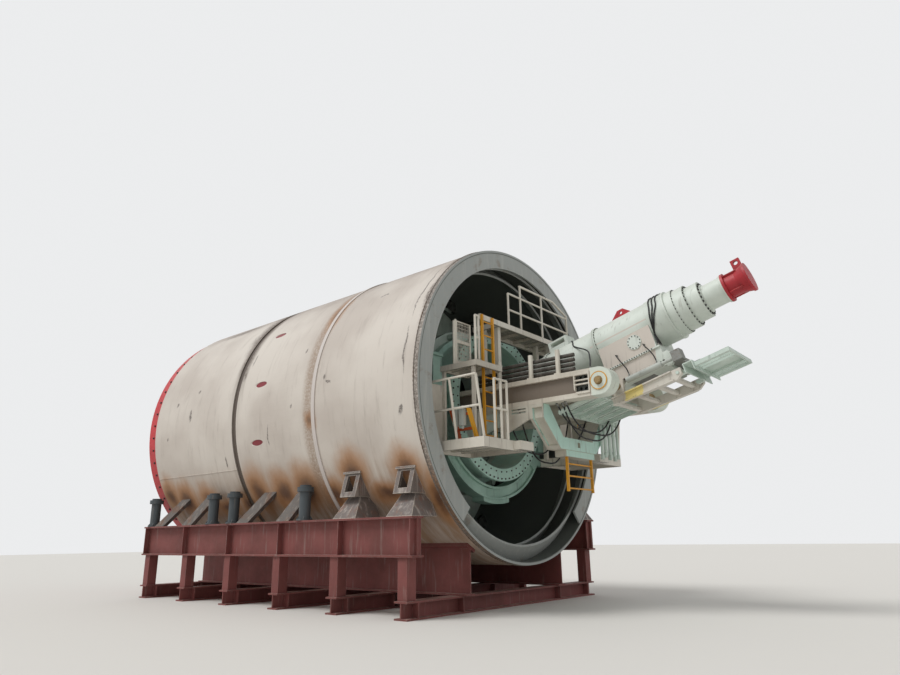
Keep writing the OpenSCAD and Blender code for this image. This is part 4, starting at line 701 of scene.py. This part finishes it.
# %% Bolts of the erector ring and the cutterhead's rim
# radius, number and size of the bolts
RING_CIRCLES = [(1.575, 72, 0.020), (1.430, 48, 0.017)]
ring_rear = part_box("erector_ring")[1][0] - rim.x
bm = bmesh.new()
for radius, count, size in RING_CIRCLES:
    ring_of_bolts(bm, Matrix.Translation(at(ring_rear, 0, 0)) @ look_back, radius, count, size)
finish_piece(bm, "erector_ring_bolts", bolt_steel, "erector_rotor")

RIM_PLUGS = 64
PLUG_SIZE = 0.028
front_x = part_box("front_shield")[0][0] - rim.x
plug_x = front_x - 0.15
head_low, head_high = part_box("cutterhead_body")
head_r = (head_high[2] - head_low[2]) / 2
bm = bmesh.new()
for i in range(RIM_PLUGS):
    turn = Matrix.Rotation(2 * math.pi * (i + 0.5) / RIM_PLUGS, 4, "X")
    outside = Matrix.Translation(at(plug_x, 0, 0)) @ turn @ Matrix.Translation((0, 0, head_r))
    add_bolt(bm, outside, PLUG_SIZE)
finish_piece(bm, "cutterhead_rim_plugs", bolt_steel, "cutterhead")

# %% [markdown]
# Site welds stay rough. A hand weld is a chain of small overlapping beads, so its section swells and shrinks
# along the seam. A bump in the material wouldn't show where the bead stands against the sky, so it is a
# shape: a circle is spun around the machine's axis in many steps, and every second section is made smaller.

# %% Weld bead around the tail
TAIL_WELD_X = -0.10
BEAD_R = 0.014
BEADS = 260
# how far a bead's middle stands off the plate, and the share of its radius that is left between beads
BEAD_OFF = 0.002
BEAD_WAIST = 0.6
centre = at(TAIL_WELD_X, 0, 0)
weld_r = shield_r + BEAD_OFF
steps = 2 * BEADS
bm = bmesh.new()
bmesh.ops.create_circle(bm, segments=6, radius=BEAD_R, matrix=Matrix.Translation(
    at(TAIL_WELD_X, 0, weld_r)) @ Matrix.Rotation(math.pi / 2, 4, "X"))
bmesh.ops.spin(bm, geom=list(bm.verts) + list(bm.edges), cent=centre, axis=(1, 0, 0), angle=2 * math.pi,
               steps=steps, use_merge=True)
for vert in bm.verts:
    off = vert.co - centre
    angle = math.atan2(off.y, off.z) % (2 * math.pi)
    if round(angle / (2 * math.pi) * steps) % 2:
        middle = centre + Vector((0, off.y, off.z)).normalized() * weld_r
        vert.co = middle + (vert.co - middle) * BEAD_WAIST
finish_piece(bm, "shield_welds", weld_steel, smooth=60)

# %% [markdown]
# The front shield has a seam along it low on each side. That weld was painted over and shows as a chain of
# dots. A row of small balls, sunk to their middle, is enough for it.

# %% Painted weld along the front shield
SEAM_Z = -1.22
SEAM_BEADS = 150
SEAM_BEAD_R = 0.016
seam_y = math.sqrt(shield_r ** 2 - SEAM_Z ** 2)
bm = bmesh.new()
for flip in (-1, 1):
    for x in spread(front_x + 0.05, seam_1 - 0.10, SEAM_BEADS):
        bmesh.ops.create_icosphere(bm, subdivisions=1, radius=SEAM_BEAD_R,
                                   matrix=Matrix.Translation(at(x, flip * seam_y, SEAM_Z)))
finish_piece(bm, "long_seam_weld", shield_coat, smooth=60)

# %% [markdown]
# The probe ports slant through the shield, and each is closed by a dark red plug, so it shows as a long red
# oval. A slanted rod could be cut by the shield's skin, but a disc that is stretched to the oval and set a
# little under the skin, where the slanted hole has moved back, looks the same with fewer faces.

# %% Plugs of the probe ports
PORT_SLANT = math.radians(73)
PORT_R = 0.064
PLUG_DEPTH = 0.012
PLUG_THICK = 0.004
# angle over the horizontal in degrees, and x behind the rim where the port meets the skin
PORTS = [(34, -4.90), (10, -4.79), (-12.5, -4.84)]
moved_back = PLUG_DEPTH * math.tan(PORT_SLANT)
stretch = Matrix.Diagonal((1 / math.cos(PORT_SLANT), 1, 1, 1))
bm = bmesh.new()
for angle, x in PORTS:
    for flip in (-1, 1):
        out = Vector((0, flip * math.cos(math.radians(angle)), math.sin(math.radians(angle))))
        turn = out.to_track_quat("Z", "X").to_matrix().to_4x4()
        along = turn.inverted() @ Vector((1, 0, 0))
        twist = Matrix.Rotation(math.atan2(along.y, along.x), 4, "Z")
        place = Matrix.Translation(at(x + moved_back, 0, 0) + out * (shield_r - PLUG_DEPTH))
        bmesh.ops.create_cone(bm, cap_ends=True, segments=32, radius1=PORT_R, radius2=PORT_R,
                              depth=PLUG_THICK, matrix=place @ turn @ twist @ stretch)
finish_piece(bm, "port_plugs", plug_red)

# %% [markdown]
# The end of each main beam carries a flat yellow ring around its pin boss: a small section spun around the
# pin's axis, which gives clean square edges with no cut.

# %% Pin rings
RING_IN = 0.149
RING_OUT = 0.164
# the ring is sunk a little into the beam's face, and stands proud of it
ring_low = BEAM_FACE - 0.002
ring_high = BEAM_FACE + 0.018
PIN_X = 2.44
PIN_Z = -0.13
centre = at(PIN_X, 0, PIN_Z)
bm = bmesh.new()
for flip in (-1, 1):
    corners = [bm.verts.new(centre + Vector((0, flip * y, r)))
               for r, y in ((RING_IN, ring_low), (RING_OUT, ring_low), (RING_OUT, ring_high),
                            (RING_IN, ring_high))]
    edges = [bm.edges.new((corners[i - 1], corners[i])) for i in range(4)]
    bmesh.ops.spin(bm, geom=corners + edges, cent=centre, axis=(0, 1, 0), angle=2 * math.pi, steps=48,
                   use_merge=True)
finish_piece(bm, "pin_rings", yellow)

# %% [markdown]
# Hydraulic hoses are black rubber with a swaged steel fitting at each end. They are stiff, so they leave a
# fitting straight and turn in wide arcs, and a long one sags between its two fittings. A simulation would
# find the sag, but here the ends and the places that a hose lies on are known, so each hose is one smooth
# line through a few chosen points, with a round section along it.

# %% Laying a hose
# of each hose's two ends: where it is, where the hose goes from there, and the hose's diameter
hose_ends = []


def smooth_line(points, steps=4):
    """Points on a smooth line through the given ones."""
    ends = [points[0] * 2 - points[1], *points, points[-1] * 2 - points[-2]]
    line = []
    for a, b, c, d in zip(ends, ends[1:], ends[2:], ends[3:]):
        for i in range(steps):
            t = i / steps
            line.append(0.5 * (2 * b + (c - a) * t + (2 * a - 5 * b + 4 * c - d) * t * t
                               + (3 * b - a - 3 * c + d) * t ** 3))
    return [*line, points[-1]]


def lay_hose(name, points, diameter):
    """A hose of one round section along a smooth line through the points."""
    line = smooth_line([Vector(p) for p in points])
    curve = bpy.data.curves.new(name, "CURVE")
    curve.dimensions = "3D"
    curve.bevel_depth = diameter / 2
    curve.bevel_resolution = 2
    curve.use_fill_caps = True
    spline = curve.splines.new("POLY")
    spline.points.add(len(line) - 1)
    for point, place in zip(spline.points, line):
        point.co = (*place, 1.0)
    spline.use_smooth = True
    curve.materials.append(rubber)
    piece = bpy.data.objects.new(name, curve)
    scene.collection.objects.link(piece)
    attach(piece, "machine")
    hose_ends.append((line[0], line[1], diameter))
    hose_ends.append((line[-1], line[-2], diameter))


print("ready to lay hoses")

# %% [markdown]
# Three hoses feed the gate: they leave a small block on top of the drum, lie over its near side and end on
# the gate housing. Short ones feed each gate cylinder from the housing's side. On the drum the points follow
# its circle, half a hose off its plate, and lean towards the housing as they come down.

# %% Hoses of the gate
DRUM_R = 0.465
DRUM_HOSE = 0.026
GATE_HOSE = 0.022
# where the drum hoses come down, along the screw, and the side of the first one and the step to the next
DOWN_AT = 3.226
DOWN_SIDE = -0.40
DOWN_STEP = 0.07
over_r = DRUM_R + 0.014
for i, s in enumerate((3.32, 3.39, 3.46)):
    points = [on_screw(s, -0.045, DRUM_R + 0.022), on_screw(s, -0.10, DRUM_R + 0.016)]
    for turn in (30, 50, 70, 90, 110, 130):
        lean = max(0, turn - 70) / 60
        theta = math.radians(turn)
        along = s + (DOWN_AT - s) * lean
        points.append(on_screw(along, -over_r * math.sin(theta), over_r * math.cos(theta)))
    side = DOWN_SIDE + DOWN_STEP * i
    points += [on_screw(DOWN_AT, side, n) for n in (-0.45, -0.51, -0.569)]
    lay_hose(f"drum_hose_{i + 1}", points, DRUM_HOSE)

for flip, side in ((-1, "near"), (1, "far")):
    for s, top, where in ((2.56, -0.40, "front"), (3.12, -0.44, "rear")):
        route = [(s, 0.545, -0.889), (s, 0.545, -0.82), (s - 0.01, 0.555, -0.72), (s - 0.05, 0.57, -0.60),
                 (s - 0.09, 0.565, top - 0.08), (s - 0.12, 0.53, top - 0.01), (s - 0.125, 0.49, top),
                 (s - 0.125, 0.451, top)]
        points = [on_screw(a, flip * y, n) for a, y, n in route]
        lay_hose(f"gate_hose_{side}_{where}", points, GATE_HOSE)

# %% [markdown]
# Long hoses hang in loops under the main beams, in front of the yoke and behind it, and one more runs from
# the casing's top down to the end of the near main beam. A loop hangs as deep as its spare length lets it,
# with steep sides because both ends leave their fittings downwards.

# %% Hoses of the beams and the casing
BEAM_LOW = -0.381
BEAM_HOSE = 0.032
CASING_HOSE = 0.028
CASING_OVER = 0.464
# x behind the rim of both ends, y of both ends, and how deep the loop hangs
LOOPS = [(0.35, 0.20, -1.10, 0.98, 0.75), (0.60, 0.45, -1.05, 1.05, 0.95), (0.75, 0.85, -0.98, 1.12, 0.62),
         (1.45, 1.50, -1.05, 1.00, 0.42), (1.55, 1.48, -1.02, 1.10, 0.58), (1.66, 1.72, -1.10, 1.05, 0.50)]
for i, (x0, x1, y0, y1, drop) in enumerate(LOOPS):
    points = [at(x0 + (x1 - x0) * t, y0 + (y1 - y0) * t, BEAM_LOW - drop * (1 - abs(2 * t - 1) ** 3))
              for t in spread(0, 1, 11)]
    lay_hose(f"beam_hose_{i + 1}", points, BEAM_HOSE)

points = [on_screw(1.50, -0.06, 0.452), on_screw(1.51, -0.12, 0.456)]
for turn in (30, 48, 66):
    theta = math.radians(turn)
    side, over = -CASING_OVER * math.sin(theta), CASING_OVER * math.cos(theta)
    points.append(on_screw(1.50 + turn / 400, side, over))
points += [at(1.95, -0.66, 0.62), at(2.10, -0.86, 0.40), at(2.18, -1.02, 0.24), at(2.20, -1.07, 0.17),
           at(2.20, -1.08, 0.121)]
lay_hose("casing_hose", points, CASING_HOSE)

# %% [markdown]
# A fitting is a steel sleeve pressed on the hose and a hexagon nut at its end. Both are sized from the hose,
# so one loop over the noted ends makes them all. The block that the drum hoses leave is a cube with bevelled
# edges, as a machined block has.

# %% Fittings at the hoses' ends and the block on the drum
# of the sleeve and the nut, in hose diameters: sides, radius at the end, radius on the hose, depth
SLEEVE = (16, 0.62, 0.56, 2.2)
NUT = (6, 0.8, 0.8, 0.7)
bm = bmesh.new()
for end, after, diameter in hose_ends:
    way = (after - end).normalized()
    turn = way.to_track_quat("Z", "Y").to_matrix().to_4x4()
    for sides, radius_end, radius_hose, depth in (SLEEVE, NUT):
        bmesh.ops.create_cone(bm, cap_ends=True, segments=sides, radius1=diameter * radius_end,
                              radius2=diameter * radius_hose, depth=diameter * depth,
                              matrix=Matrix.Translation(end + way * diameter * depth / 2) @ turn)
finish_piece(bm, "hose_fittings", plain_steel)

BLOCK_AT = (3.39, 0.01, DRUM_R + 0.022)
BLOCK_SIZE = (0.24, 0.11, 0.07)
BLOCK_EDGE = 0.008
bm = bmesh.new()
bmesh.ops.create_cube(bm, size=1, matrix=screw_frame @ Matrix.Translation(BLOCK_AT)
                      @ Matrix.Diagonal((*BLOCK_SIZE, 1)))
bmesh.ops.bevel(bm, geom=list(bm.edges), offset=BLOCK_EDGE, offset_type="OFFSET", segments=2, profile=0.5,
                affect="EDGES", material=-1)
finish_piece(bm, "drum_block", cylinder_grey)

# %% [markdown]
# The floor is one large pale plane. The sky lights everything evenly, and one wide lamp from above gives
# the shape. A sky as bright as it looks would wash the paint out, so rays that reach the camera, straight or
# by a mirror, see a brighter one than the machine is lit by.

# %% Floor and lights
FLOOR_SIZE = 90
LIT_BY = 0.62
SEEN_AS = 0.95
LAMP_FROM = (-0.35, -0.62, 0.95)
LAMP_POWER = 1.7
LAMP_WIDTH = math.radians(25)

floor_mesh = bpy.data.meshes.new("floor")
bm = bmesh.new()
bmesh.ops.create_grid(bm, x_segments=1, y_segments=1, size=FLOOR_SIZE)
bm.to_mesh(floor_mesh)
bm.free()
floor = bpy.data.objects.new("floor", floor_mesh)
scene.collection.objects.link(floor)
# a smooth pale screed, dull enough to show only soft shadows
floor_coat, tree, shader = new_material("pale floor")
shader.inputs["Base Color"].default_value = paint("#d9d6d0")
shader.inputs["Roughness"].default_value = 0.85
floor_mesh.materials.append(floor_coat)

world = bpy.data.worlds.new("open sky")
scene.world = world
world.use_nodes = True
tree = world.node_tree
sky = tree.nodes["Background"]
sky.inputs["Color"].default_value = paint("#f1f2f3")
path = add(tree, "ShaderNodeLightPath")
seen = path.outputs["Is Camera Ray"]
for ray in ("Is Glossy Ray", "Is Transmission Ray"):
    seen = add(tree, "ShaderNodeMath", {0: seen, 1: path.outputs[ray]}, 0, operation="MAXIMUM")
glow = add(tree, "ShaderNodeMapRange", {"Value": seen, "To Min": LIT_BY, "To Max": SEEN_AS}, "Result")
tree.links.new(glow, sky.inputs["Strength"])

lamp = bpy.data.objects.new("wide lamp", bpy.data.lights.new("wide lamp", "SUN"))
scene.collection.objects.link(lamp)
lamp.data.energy = LAMP_POWER
lamp.data.angle = LAMP_WIDTH
lamp.rotation_mode = "QUATERNION"
lamp.rotation_quaternion = Vector(LAMP_FROM).to_track_quat("Z", "Y")
print("sky", LIT_BY, "on the machine,", SEEN_AS, "in the picture; lamp", LAMP_POWER)
